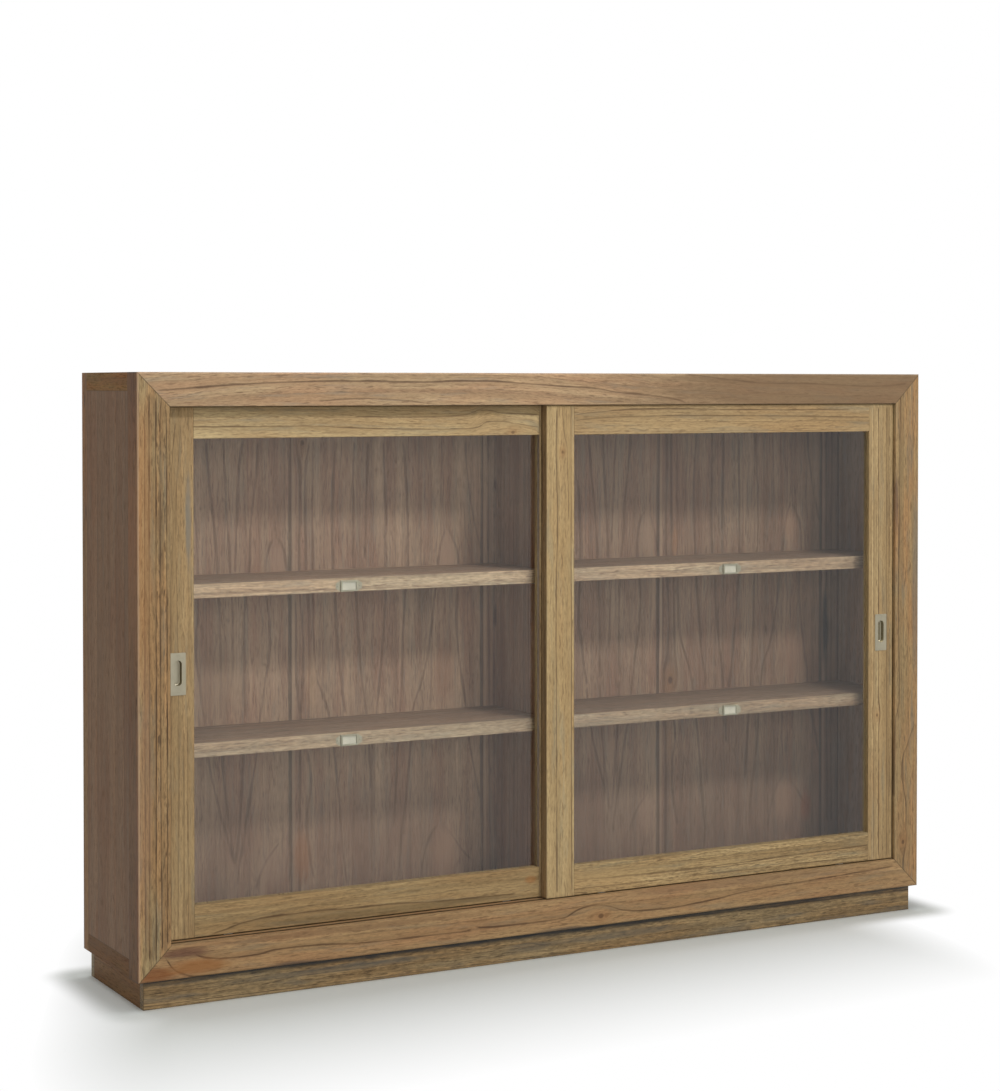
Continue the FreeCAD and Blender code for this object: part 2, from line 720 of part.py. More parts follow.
label_pin = new_body("label_pin", ("0", "0", "0"), STANDING)
head_sketch = new_sketch(label_pin, "head", offset=("0", "0", "label_plate"))
circle(head_sketch, "label_pin_head_radius")
pad(label_pin, "head", head_sketch, "label_pin_head")
shank_sketch = new_sketch(label_pin, "shank", offset=("0", "0", "label_plate"))
circle(shank_sketch, "label_pin_radius")
pad(label_pin, "shank", shank_sketch, "label_pin_length", reverse=True)
doc.recompute()
rim = edges_between(label_pin.Tip.Shape, [("top", "top")])
dress(label_pin, "Fillet", "dome", rim, "label_pin_head * 0.7")
group("label_pins", label_pin, label_pin_places)

# Channel tracks let into the sill, one under each door.
track = new_body("sill_track", ("0", "0", "0"))
add_box(track, "channel", ("0", "0", "0"), (OPEN_WIDTH, TRACK_WIDTH, "track_height"))
cut_box(
    track,
    "slot",
    ("0", "track_wall", "track_base"),
    (OPEN_WIDTH, TRACK_SLOT, "(track_height - track_base)"),
)
track_places = []
for centre in TRACK_CENTRE.values():
    track_places.append((OPEN_LEFT, f"{centre} - {TRACK_WIDTH} / 2", f"{OPEN_BOTTOM} - track_height"))
group("sill_tracks", track, track_places)

# The screw of a pull: a slotted countersunk head, flush with the plate, on a plain shank.
screw_cone = doc.addObject("Part::Cone", "screw_cone")
screw_cone.setExpression("Radius1", on_sheet("screw_radius"))
screw_cone.setExpression("Radius2", on_sheet("screw_head_radius"))
screw_cone.setExpression("Height", on_sheet("screw_head_height"))
screw_cone.setExpression("Placement.Base.z", on_sheet("pull_plate - screw_head_height"))
screw_shank = doc.addObject("Part::Cylinder", "screw_shank")
screw_shank.setExpression("Radius", on_sheet("screw_radius"))
screw_shank.setExpression("Height", on_sheet("screw_length"))
screw_shank.setExpression("Placement.Base.z", on_sheet("pull_plate - screw_length"))
screw_solid = doc.addObject("Part::Fuse", "screw_solid")
screw_solid.Base = screw_cone
screw_solid.Tool = screw_shank
screw_cutter = doc.addObject("Part::Box", "screw_cutter")
screw_cutter.setExpression("Length", on_sheet("2 * screw_head_radius"))
screw_cutter.setExpression("Width", on_sheet("screw_slot"))
screw_cutter.setExpression("Height", on_sheet("screw_slot"))
place(screw_cutter, ("-screw_head_radius", "-screw_slot / 2", "pull_plate - screw_slot"))
screw = doc.addObject("Part::Cut", "screw")
screw.Base = screw_solid
screw.Tool = screw_cutter
screw.Placement.Rotation = STANDING


def make_stile(side, kind, left, inner):
    """A full-height stile with the glass rebate, two mortises and the tongue that runs in the head."""
    corner = (f"{DOOR_LEFT[side]} + {left}", DOOR_FRONT[side], DOOR_BOTTOM)
    stile = board(f"{side}_door_{kind}_stile", corner, ("stile_width", "door_thickness", DOOR_HEIGHT))
    add_box(
        stile,
        "tongue",
        ("0", TONGUE_FRONT, DOOR_HEIGHT),
        ("stile_width", "tongue_thickness", "tongue_height"),
    )
    at_inner = "(stile_width - {0})" if inner == "right" else "0"
    cut_box(
        stile,
        "glass_rebate",
        (at_inner.format("glass_rebate"), "glass_lip", "bottom_rail_height - glass_rebate"),
        ("glass_rebate", "(door_thickness - glass_lip)", f"({GLASS_OPENING} + 2 * glass_rebate)"),
    )
    for rail, bottom, height in MORTISES:
        cut_box(
            stile,
            f"{rail}_mortise",
            (at_inner.format(MORTISE_DEPTH), f"{TENON_FRONT} - tenon_gap", f"{bottom} - tenon_gap"),
            (MORTISE_DEPTH, "(tenon_thickness + 2 * tenon_gap)", f"({height} + 2 * tenon_gap)"),
        )
    return stile


def make_rail(side, kind, bottom, height, rebate_bottom, tenon_bottom, tenon_height):
    """A rail between the stiles, with a stub tenon at each end and the glass rebate along its edge."""
    corner = (f"{DOOR_LEFT[side]} + stile_width", DOOR_FRONT[side], f"{DOOR_BOTTOM} + {bottom}")
    rail = board(f"{side}_door_{kind}_rail", corner, (RAIL_LENGTH, "door_thickness", height))
    cut_box(
        rail,
        "glass_rebate",
        ("0", "glass_lip", rebate_bottom),
        (RAIL_LENGTH, "(door_thickness - glass_lip)", "glass_rebate"),
    )
    for end, left in (("left", "-tenon_length"), ("right", RAIL_LENGTH)):
        add_box(
            rail,
            f"{end}_tenon",
            (left, TENON_FRONT, tenon_bottom),
            ("tenon_length", "tenon_thickness", tenon_height),
        )
    return rail


def make_pull(side, middle):
    """A flush pull: a plate with a round-ended cup behind it and two countersunk holes."""
    label = f"{side}_door_pull"
    pull = new_body(label, middle, STANDING)
    plate = add_box(
        pull,
        "plate",
        ("-pull_width / 2", "-pull_height / 2", "0"),
        ("pull_width", "pull_height", "pull_plate"),
    )
    doc.recompute()
    corners = edges_between(
        plate.Shape,
        [("left", "front"), ("left", "back"), ("right", "front"), ("right", "back")],
    )
    dress(pull, "Fillet", "plate_corners", corners, "pull_corner_radius")
    cup = new_sketch(pull, "cup", offset=("0", "pull_slot_rise", "0"))
    stadium(cup, CUP_WIDTH, CUP_HEIGHT)
    pad(pull, "cup", cup, "pull_depth + pull_wall", reverse=True)
    slot = new_sketch(pull, "slot", offset=("0", "pull_slot_rise", "-pull_depth"))
    stadium(slot, "pull_slot_width", "pull_slot_height")
    pocket(pull, "slot", slot, "pull_depth + pull_plate")
    doc.recompute()
    dress(pull, "Fillet", "slot_floor", level_edges(pull, -size_of("pull_depth")), "pull_floor_radius")
    for number, sign in enumerate(("", "-")):
        at = ("0", f"{sign}(pull_height / 2 - screw_inset)", "pull_plate")
        hole = new_sketch(pull, f"screw_hole_{number}", offset=at)
        circle(hole, "screw_radius + screw_gap")
        pocket(pull, f"screw_hole_{number}", hole, "pull_plate", towards_normal=False)
    doc.recompute()
    hole_size = 2 * (size_of("screw_radius") + size_of("screw_gap"))
    rims = level_edges(pull, size_of("pull_plate"), hole_size)
    dress(pull, "Chamfer", "countersinks", rims, "screw_head_radius - screw_radius")
    return as_node(pull, label)


for side in ("left", "right"):
    outer_left = "0" if side == "left" else f"({DOOR_WIDTH} - stile_width)"
    meeting_left = f"({DOOR_WIDTH} - stile_width)" if side == "left" else "0"
    outer_stile = make_stile(side, "outer", outer_left, "right" if side == "left" else "left")
    meeting_stile = make_stile(side, "meeting", meeting_left, "left" if side == "left" else "right")
    top_rail = make_rail(
        side,
        "top",
        TOP_RAIL_BOTTOM,
        "top_rail_height",
        "0",
        "glass_rebate + tenon_haunch",
        TOP_TENON,
    )
    add_box(
        top_rail,
        "tongue",
        ("0", TONGUE_FRONT, "top_rail_height"),
        (RAIL_LENGTH, "tongue_thickness", "tongue_height"),
    )
    bottom_rail = make_rail(
        side,
        "bottom",
        "0",
        "bottom_rail_height",
        "bottom_rail_height - glass_rebate",
        "tenon_shoulder",
        BOTTOM_TENON,
    )

    # The cup of the pull and its screws go into the outer stile, half way up the door.
    cup_hole = new_sketch(
        outer_stile,
        "cup_hole",
        "XZ_Plane",
        ("stile_width / 2", f"{DOOR_HEIGHT} / 2 + pull_slot_rise", "0"),
    )
    stadium(cup_hole, f"({CUP_WIDTH} + 2 * pull_fit)", f"({CUP_HEIGHT} + 2 * pull_fit)")
    pocket(outer_stile, "cup_hole", cup_hole, "pull_depth + pull_wall + pull_fit", towards_normal=False)
    for number, sign in enumerate(("+", "-")):
        height = f"{DOOR_HEIGHT} / 2 {sign} (pull_height / 2 - screw_inset)"
        hole = new_sketch(outer_stile, f"screw_hole_{number}", "XZ_Plane", ("stile_width / 2", height, "0"))
        circle(hole, "screw_radius + screw_gap")
        depth = "screw_length - pull_plate + screw_gap"
        pocket(outer_stile, f"screw_hole_{number}", hole, depth, towards_normal=False)
    for stile in (outer_stile, meeting_stile):
        ease(stile, "front_edges", [("front", "left"), ("front", "right")], "door_edge_radius")
    for rail in (top_rail, bottom_rail):
        ease(rail, "front_edges", [("front", "top"), ("front", "bottom")], "door_edge_radius")
    pull_x = f"{DOOR_LEFT[side]} + {outer_left} + stile_width / 2"
    pull_z = f"{DOOR_BOTTOM} + {DOOR_HEIGHT} / 2"
    make_pull(side, (pull_x, DOOR_FRONT[side], pull_z))
    screw_places = []
    for sign in ("+", "-"):
        screw_places.append((pull_x, DOOR_FRONT[side], f"{pull_z} {sign} (pull_height / 2 - screw_inset)"))
    group(f"{side}_door_pull_screws", screw, screw_places)

    # Glass in its rebate, held from behind by four beads.
    glass_left = f"{DOOR_LEFT[side]} + stile_width - glass_rebate + glass_edge_gap"
    board(
        f"{side}_door_glass",
        (
            glass_left,
            f"{DOOR_FRONT[side]} + glass_lip",
            f"{DOOR_BOTTOM} + bottom_rail_height - glass_rebate + glass_edge_gap",
        ),
        (
            f"({RAIL_LENGTH} + 2 * (glass_rebate - glass_edge_gap))",
            "glass_thickness",
            f"({GLASS_OPENING} + 2 * (glass_rebate - glass_edge_gap))",
        ),
    )
    beads = []
    for edge, left, bottom, length, height in (
        ("bottom", "0", "0", f"{RAIL_LENGTH} + 2 * glass_rebate", "glass_rebate"),
        ("top", "0", f"{GLASS_OPENING} + glass_rebate", f"{RAIL_LENGTH} + 2 * glass_rebate", "glass_rebate"),
        ("left", "0", "glass_rebate", "glass_rebate", GLASS_OPENING),
        ("right", f"{RAIL_LENGTH} + glass_rebate", "glass_rebate", "glass_rebate", GLASS_OPENING),
    ):
        bead = doc.addObject("Part::Box", f"{side}_door_bead_{edge}")
        bead.setExpression("Length", on_sheet(length))
        bead.setExpression("Width", on_sheet("door_thickness - glass_lip - glass_thickness"))
        bead.setExpression("Height", on_sheet(height))
        place(bead, (left, "0", bottom))
        beads.append(bead)
    bead_set = doc.addObject("Part::Compound", f"{side}_door_glazing_beads")
    bead_set.Links = beads
    place(bead_set, (
        f"{DOOR_LEFT[side]} + stile_width - glass_rebate",
        f"{DOOR_FRONT[side]} + glass_lip + glass_thickness",
        f"{DOOR_BOTTOM} + bottom_rail_height - glass_rebate",
    ))
    as_node(bead_set, f"{side}_door_glazing_beads")

    # Two wheels in housings let into the bottom rail, running in the track.
    wheel_places = {
        "left": (f"({DOOR_LEFT[side]} + wheel_inset)", TRACK_CENTRE[side], WHEEL_HEIGHT),
        "right": (f"({DOOR_LEFT[side]} + {DOOR_WIDTH} - wheel_inset)", TRACK_CENTRE[side], WHEEL_HEIGHT),
    }
    for end, centre in wheel_places.items():
        cut_box(
            bottom_rail,
            f"{end}_housing_mortise",
            (
                f"{centre[0]} - {DOOR_LEFT[side]} - stile_width - {HOUSING_LENGTH} / 2 - housing_fit",
                f"(door_thickness - {HOUSING_WIDTH}) / 2 - housing_fit",
                "0",
            ),
            (
                f"({HOUSING_LENGTH} + 2 * housing_fit)",
                f"({HOUSING_WIDTH} + 2 * housing_fit)",
                HOUSING_HEIGHT,
            ),
        )
        wheel = new_body(f"{side}_door_wheel_{end}", centre, STANDING)
        tread = new_sketch(wheel, "tread")
        circle(tread, "wheel_radius")
        pad(wheel, "tread", tread, "wheel_width", both_ways=True)
        doc.recompute()
        wheel_rims = edges_between(wheel.Tip.Shape, [("top", "top"), ("bottom", "bottom")])
        dress(wheel, "Chamfer", "rims", wheel_rims, "wheel_chamfer")
        bore = new_sketch(wheel, "bore")
        circle(bore, "axle_radius + wheel_bore_gap")
        pocket(wheel, "bore", bore)
        as_node(wheel, f"{side}_door_wheel_{end}")

    housing = new_body(f"{side}_door_housing", ("0", "0", "0"))
    add_box(
        housing,
        "block",
        (f"-{HOUSING_LENGTH} / 2", f"-{HOUSING_WIDTH} / 2", "0"),
        (HOUSING_LENGTH, HOUSING_WIDTH, HOUSING_HEIGHT),
    )
    cut_box(
        housing,
        "wheel_space",
        ("-(wheel_radius + wheel_room)", "-(wheel_width / 2 + housing_side_gap)", "0"),
        ("(2 * (wheel_radius + wheel_room))", "(wheel_width + 2 * housing_side_gap)", WHEEL_SPACE),
    )
    axle_hole = new_sketch(housing, "axle_hole", "XZ_Plane", ("0", f"{WHEEL_HEIGHT} - {DOOR_BOTTOM}", "0"))
    circle(axle_hole, "axle_radius")
    pocket(housing, "axle_hole", axle_hole)
    axle = doc.addObject("Part::Cylinder", f"{side}_door_axle")
    axle.setExpression("Radius", on_sheet("axle_radius"))
    axle.setExpression("Height", on_sheet(HOUSING_WIDTH))
    axle.Placement.Rotation = STANDING
    housing_places = [(place_x, place_y, DOOR_BOTTOM) for place_x, place_y, _ in wheel_places.values()]
    axle_places = []
    for place_x, place_y, height in wheel_places.values():
        axle_places.append((place_x, f"{place_y} + {HOUSING_WIDTH} / 2", height))
    group(f"{side}_door_wheel_housings", housing, housing_places)
    group(f"{side}_door_wheel_axles", axle, axle_places)

doc.recompute()

for item in doc.Objects:
    if "Invalid" in item.State or "Error" in item.State:
        raise RuntimeError(f"{item.Label} failed: {item.State}")
    if item.TypeId == "Sketcher::SketchObject" and not item.FullyConstrained:
        raise RuntimeError(f"{item.Label} is not fully constrained")
for piece in nodes:
    if piece.Shape.isNull() or not piece.Shape.isValid():
        raise RuntimeError(f"{piece.Label} has no valid shape")

os.makedirs("parts", exist_ok=True)
for piece in nodes:
    piece.Shape.exportStep(f"parts/{piece.Label}.step")
    box = piece.Shape.BoundBox
    print(
        f"{piece.Label}: {len(piece.Shape.Solids)} solid(s), {piece.Shape.Volume:.0f} mm3,",
        f"X {box.XMin:.2f} to {box.XMax:.2f}, Y {box.YMin:.2f} to {box.YMax:.2f},",
        f"Z {box.ZMin:.2f} to {box.ZMax:.2f}",
    )
print(len(nodes), "sub-parts")
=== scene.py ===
"""Finishes, light and camera for a low bookcase with two sliding glass doors."""

import math

import bpy
from bpy.props import FloatProperty, FloatVectorProperty, PointerProperty
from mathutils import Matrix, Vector


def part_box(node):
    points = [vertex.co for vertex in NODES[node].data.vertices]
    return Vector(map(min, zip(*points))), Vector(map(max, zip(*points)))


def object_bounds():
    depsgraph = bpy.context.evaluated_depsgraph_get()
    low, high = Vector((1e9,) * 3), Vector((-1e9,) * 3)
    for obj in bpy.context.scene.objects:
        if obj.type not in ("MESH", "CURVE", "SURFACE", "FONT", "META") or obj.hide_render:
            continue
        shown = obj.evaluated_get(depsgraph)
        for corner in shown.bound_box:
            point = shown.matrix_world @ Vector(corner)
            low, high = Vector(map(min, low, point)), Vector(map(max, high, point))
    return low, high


bl_info = {
    "name": "Sliding Door Bookcase",
    "version": (1, 0, 0),
    "blender": (4, 5, 0),
    "location": "3D View > Sidebar > Bookcase",
    "description": "Finishes the bookcase's pieces and sets up its stage",
    "category": "Object",
}

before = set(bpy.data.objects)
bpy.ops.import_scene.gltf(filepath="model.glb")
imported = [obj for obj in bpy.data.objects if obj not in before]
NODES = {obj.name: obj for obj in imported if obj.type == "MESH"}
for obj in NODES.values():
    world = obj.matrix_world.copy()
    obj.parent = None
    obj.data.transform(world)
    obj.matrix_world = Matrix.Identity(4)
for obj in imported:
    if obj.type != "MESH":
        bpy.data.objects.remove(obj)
CAD_BOX = [list(corner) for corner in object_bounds()]


# ---------------- colours


def shade(red, green, blue):
    """A screen colour of 0 to 255 a channel as the linear colour that Blender keeps."""
    return tuple(
        c / 12.92 if c <= 0.04045 else ((c + 0.055) / 1.055) ** 2.4
        for c in (red / 255, green / 255, blue / 255)
    )


def colour(name, description, red=0, green=0, blue=0):
    """A colour property with its default given as a screen colour."""
    return FloatVectorProperty(name=name, description=description, subtype="COLOR", size=3, min=0, max=1,
                               default=shade(red, green, blue))


def number(name, description, value, **limits):
    """A number property."""
    return FloatProperty(name=name, description=description, default=value, **limits)


def length(name, description, metres):
    """A length property in metres."""
    return number(name, description, metres, min=0, unit="LENGTH")


# ---------------- settings


class WoodTones(bpy.types.PropertyGroup):
    """Colours of one group of boards."""

    pale: colour("Pale", "Colour between the grain lines")
    deep: colour("Deep", "Colour of the darker late wood")
    warm: colour("Warm", "Colour of the redder heartwood patches")
    line: colour("Line", "Colour of the grain lines and pores")
    wash: colour("Wash", "Colour of the grey wash left in the grain")


SHADES = ("pale", "deep", "warm", "line", "wash")
TONES = {
    "frame": ((174, 144, 110), (142, 113, 83), (168, 130, 98), (74, 50, 36), (122, 115, 104)),
    "jamb": ((168, 137, 96), (130, 99, 67), (176, 128, 84), (74, 50, 34), (112, 107, 95)),
    "door": ((176, 150, 109), (141, 116, 80), (164, 134, 94), (84, 62, 42), (124, 119, 101)),
    "side": ((150, 126, 106), (112, 90, 72), (140, 108, 84), (70, 50, 38), (122, 114, 104)),
    "side_rail": ((144, 110, 76), (110, 80, 54), (146, 98, 60), (64, 42, 28), (102, 92, 78)),
    "plinth": ((156, 137, 104), (120, 103, 76), (150, 122, 84), (60, 48, 38), (92, 92, 88)),
    "back": ((160, 132, 109), (124, 99, 82), (142, 108, 88), (78, 56, 46), (126, 115, 103)),
    "shelf": ((168, 140, 116), (140, 114, 93), (160, 126, 102), (94, 72, 58), (138, 127, 113)),
    "edge": ((196, 170, 140), (166, 140, 112), (194, 158, 126), (120, 92, 72), (158, 148, 132)),
}


class GrainSizes(bpy.types.PropertyGroup):
    """Sizes of the grain that every board shares."""

    relief: length("Relief", "Depth of the brushed grain", 0.0004)
    edge: length("Edge", "Width of the darker line along each board's edges", 0.0022)
    mitre: length("Mitre", "Half the width of the dark line at the mitres", 0.0016)


class FittingTones(bpy.types.PropertyGroup):
    """Colours of the metal, glass, card and plastic."""

    nickel: colour("Nickel", "Satin nickel of the pulls and label holders", 160, 153, 133)
    steel: colour("Steel", "Plain steel of the pins and axles", 190, 190, 188)
    bronze: colour("Bronze", "Channel tracks in the sill", 122, 104, 84)
    glass: colour("Glass", "Tint of the panes", 250, 252, 251)
    card: colour("Card", "Blank label cards", 208, 199, 182)
    nylon: colour("Nylon", "Wheels", 226, 224, 216)
    housing: colour("Housing", "Moulded wheel housings", 46, 46, 48)


class StageSettings(bpy.types.PropertyGroup):
    """Floor, light and camera."""

    floor: colour("Floor", "Pale studio floor", 243, 247, 243)
    key: number("Key", "Power of the lamp high in front, right of the middle", 66, min=0)
    fill: number("Fill", "Power of the low lamp in front", 132, min=0)
    overhead: number("Overhead", "Power of the broad lamp above", 145, min=0)
    sky: number("Sky", "Strength of the soft light from all round", 0.28, min=0)
    floor_reach: length("Floor Reach", "Half the side of the floor", 9.0)
    fade_near: length("Fade Near", "Distance round the bookcase in which the floor keeps its whole shadow", 0.1)
    left_start: length("Left Start", "Distance left of the middle at which the floor's fade to white begins", 0.86)
    left_slant: number("Left Slant", "How much nearer the left fade begins for each metre to the back", 0.4)
    left_fade: length("Left Fade", "Length of the fade on the left", 0.28)
    right_start: length("Right Start", "Distance right of the middle at which the fade begins", 0.7)
    right_fade: length("Right Fade", "Length of the fade on the right", 0.2)
    front_start: length("Front Start", "Distance before the middle at which the fade begins", 0.2)
    front_fade: length("Front Fade", "Length of the fade in front", 0.65)
    front_slant: number("Front Slant", "How much nearer the front fade begins for each metre to the right", 0.07)
    back_start: length("Back Start", "Distance behind the middle at which the fade begins", 0.35)
    back_fade: length("Back Fade", "Length of the fade behind", 0.6)
    camera_x: number("Camera X", "Camera place across", -2.62372, unit="LENGTH")
    camera_y: number("Camera Y", "Camera place in depth", -4.72111, unit="LENGTH")
    camera_z: number("Camera Z", "Camera height", 1.28034, unit="LENGTH")
    camera_turn: number("Camera Turn", "Turn to the right", math.radians(28.442), subtype="ANGLE")
    camera_dip: number("Camera Dip", "Tilt below level", math.radians(1.163), subtype="ANGLE")
    lens: number("Lens", "Focal length in mm", 77.4929, min=1)
    drop: number("Drop", "Lens shift, as a share of the long side", -0.102059)


class BookcaseSettings(bpy.types.PropertyGroup):
    """Everything that can be set for the bookcase."""

    grain: PointerProperty(type=GrainSizes, name="Grain", description="Sizes of the grain")
    fittings: PointerProperty(type=FittingTones, name="Fittings", description="Colours of the fittings")
    stage: PointerProperty(type=StageSettings, name="Stage", description="Floor, light and camera")


for _name, _tones in TONES.items():
    BookcaseSettings.__annotations__[_name] = PointerProperty(
        type=WoodTones, name=_name.replace("_", " ").title(), description="Colours of the " + _name.replace("_", " ")
    )


def settings():
    """The settings kept with the scene."""
    return bpy.context.scene.bookcase


# ---------------- node helpers


class Wire:
    """The value of one socket, so that sums of values are written as sums."""

    def __init__(self, nodes, socket):
        self.nodes, self.socket = nodes, socket

    def __add__(self, other):
        return self.nodes.math("ADD", self, other)

    def __sub__(self, other):
        return self.nodes.math("SUBTRACT", self, other)

    def __rsub__(self, other):
        return self.nodes.math("SUBTRACT", other, self)

    def __mul__(self, other):
        return self.nodes.math("MULTIPLY", self, other)

    def __truediv__(self, other):
        return self.nodes.math("DIVIDE", self, other)

    def __abs__(self):
        return self.nodes.math("ABSOLUTE", self)

    def scaled(self, factor, offset):
        """The value times a factor, plus an offset, in one node."""
        return self.nodes.math("MULTIPLY_ADD", self, factor, offset)


class Nodes:
    """Adds nodes to one tree and links them as they are made."""

    def __init__(self, tree):
        self.tree = tree

    def add(self, kind, *sockets, named=None, **attributes):
        """A node with its attributes set, and its inputs set or linked in order or by name."""
        node = self.tree.nodes.new("ShaderNode" + kind)
        for key, value in attributes.items():
            setattr(node, key, value)
        for place, value in list(enumerate(sockets)) + list((named or {}).items()):
            self.feed(node, place, value)
        return node

    def feed(self, node, place, value):
        """Sets or links one input."""
        value = getattr(value, "socket", value)
        if isinstance(value, bpy.types.NodeSocket):
            self.tree.links.new(value, node.inputs[place])
        elif value is not None:
            node.inputs[place].default_value = value

    def wire(self, node, output=0):
        """One output of a node."""
        return Wire(self, node.outputs[output])

    def math(self, operation, *values, clamp=False):
        """The result of a Math node."""
        return self.wire(self.add("Math", *values, operation=operation, use_clamp=clamp))

    def ramp(self, value, low, high, out_low=0, out_high=1, smooth=True):
        """A value taken from one range to another and held at its ends."""
        kind = "SMOOTHSTEP" if smooth else "LINEAR"
        return self.wire(self.add("MapRange", value, low, high, out_low, out_high, interpolation_type=kind))

    def vector(self, operation, *values):
        """The result of a Vector Math node."""
        node = self.add("VectorMath", *values, operation=operation)
        return self.wire(node, "Value" if operation == "LENGTH" else "Vector")

    def split(self, vector):
        """The three parts of a vector."""
        node = self.add("SeparateXYZ", vector)
        return [self.wire(node, axis) for axis in range(3)]

    def join(self, *parts):
        """A vector from its three parts."""
        return self.wire(self.add("CombineXYZ", *parts))

    def place(self):
        """The place on the piece, in metres."""
        return self.wire(self.add("TexCoord"), "Object")

    def noise(self, place, detail=2, roughness=0.5):
        """Noise of scale 1 at a place that is already scaled."""
        named = {"Vector": place, "Scale": 1, "Detail": detail, "Roughness": roughness}
        return self.wire(self.add("TexNoise", named=named))

    def luck(self, value):
        """A number from 0 to 1 drawn for a value."""
        return self.wire(self.add("TexWhiteNoise", noise_dimensions="1D", named={"W": value}))

    def mix(self, amount, first, second, blend="MIX"):
        """Two colours mixed."""
        node = self.add("Mix", data_type="RGBA", blend_type=blend)
        for place, value in ((0, amount), (6, first), (7, second)):
            if isinstance(value, tuple) and len(value) == 3:
                value = (*value, 1)
            self.feed(node, place, value)
        return self.wire(node, 2)

    def group(self, tree, inputs):
        """A placed group's outputs by name."""
        node = self.add("Group", node_tree=tree, named=inputs)
        return {output.name: Wire(self, output) for output in node.outputs}

    def close(self, results):
        """Joins a group's results to its outputs and gives the group."""
        output = self.tree.nodes.new("NodeGroupOutput")
        for name, value in results.items():
            self.feed(output, name, value)
        return self.tree


OUTPUT_KINDS = {"Colour": "Color", "Board": "Vector"}


def open_group(name, inputs, outputs):
    """A new node group, as (nodes, inputs by name). An input without a default is a vector."""
    group = bpy.data.node_groups.new(name, "ShaderNodeTree")
    for socket, default in inputs.items():
        kind = "Vector" if default is None else "Color" if isinstance(default, tuple) else "Float"
        made = group.interface.new_socket(socket, in_out="INPUT", socket_type="NodeSocket" + kind)
        if default is not None:
            made.default_value = (*default, 1) if kind == "Color" else default
    for socket in outputs:
        kind = "NodeSocket" + OUTPUT_KINDS.get(socket, "Float")
        group.interface.new_socket(socket, in_out="OUTPUT", socket_type=kind)
    n = Nodes(group)
    given = group.nodes.new("NodeGroupInput").outputs
    return n, {socket: Wire(n, given[socket]) for socket in inputs}


GRAIN_INPUTS = {"Board": None, "Ring Gap": 0.012, "Heart": -0.2, "Depth": 0, "Taper": 0.01, "Wobble": 0.002,
                "Line Width": 0.0012, "Seed": 0, "Uneven": 1.2}


def grain_group():
    """Rings, fibre, pores and patches of one board, from its along, across and deep coordinates in metres."""
    n, given = open_group("Board Grain", GRAIN_INPUTS,
                          ("Line", "Late", "Ring Tone", "Fibre", "Pore", "Patch", "Wash"))
    seed, gap = given["Seed"], given["Ring Gap"]
    along, across, deep = n.split(given["Board"])
    place = n.vector("ADD", given["Board"], n.join(seed * 3.17, seed * 1.31, seed * 2.23))

    def spread(long, wide):
        return n.vector("MULTIPLY", place, (long, wide, wide))

    slow = (n.noise(spread(1.1, 6), 1) - 0.5) * (given["Wobble"] * 4)
    quick = (n.noise(spread(7, 24)) - 0.5) * (given["Wobble"] * 1.2)
    aside = across - given["Heart"]
    below = deep * 0.6 + given["Depth"]
    reach = n.math("SQRT", aside * aside + below * below) + given["Taper"] * along + (slow + quick)
    rings = reach / gap + seed * 7.31
    uneven = n.wire(n.add("TexNoise", noise_dimensions="1D", named={"W": rings * 0.83, "Scale": 1}))
    rings = rings + (uneven - 0.5) * given["Uneven"]
    ring, part = n.math("FLOOR", rings), n.math("FRACT", rings)
    away = (0.5 - abs(part - 0.5)) * gap
    late_side = n.math("GREATER_THAN", part, 0.5)
    width = given["Line Width"] * late_side.scaled(-0.45, 1)
    line = 1 - n.ramp(away / width, 0.15, 1)
    strong = n.ramp(n.luck(ring + late_side + seed), 0.1, 0.8, 0.3, 1)
    fading = n.ramp(n.noise(spread(4.5, 30)), 0.34, 0.58, 0.3, 1)
    streaks = n.noise(spread(7, 300), 3, 0.65) * 0.35 + n.noise(spread(2, 75), 2, 0.55) * 0.3
    grit = n.noise(spread(80, 260), 2, 0.6)
    fine_pore = n.ramp(n.noise(spread(60, 1100), 1), 0.58, 0.68)
    open_pore = n.ramp(n.noise(spread(34, 290), 2, 0.6), 0.53, 0.67)
    return n.close({
        "Line": line * (strong * fading),
        "Late": part * part,
        "Ring Tone": n.luck(ring + 61.7),
        "Fibre": grit.scaled(0.35, streaks),
        "Pore": n.math("MAXIMUM", fine_pore * 0.8, open_pore) * (1 - part * 0.4),
        "Patch": n.ramp(n.noise(spread(3.2, 26), 3, 0.6), 0.36, 0.66),
        "Wash": n.ramp(n.noise(spread(6, 60), 3, 0.65), 0.5, 0.7),
    })


def knot_group():
    """Grain bent round one knot, and masks of its dark heart and warm halo."""
    n, given = open_group("Board Knot", {"Board": None, "Along": 0, "Across": 0, "Size": 0.01},
                          ("Board", "Heart", "Halo"))
    along, across, _ = n.split(given["Board"])
    across = across - given["Across"]
    along = along - given["Along"]

    def bell(stretch, width):
        a, b = along / (given["Size"] * stretch), across / (given["Size"] * width)
        return n.math("EXPONENT", (a * a + b * b) * -1)

    pull = across * bell(6, 2.6) * -0.85
    return n.close({"Board": n.vector("ADD", given["Board"], n.join(0, pull, 0)),
                    "Heart": n.ramp(bell(1.1, 0.8), 0.35, 0.7), "Halo": bell(3.4, 2)})


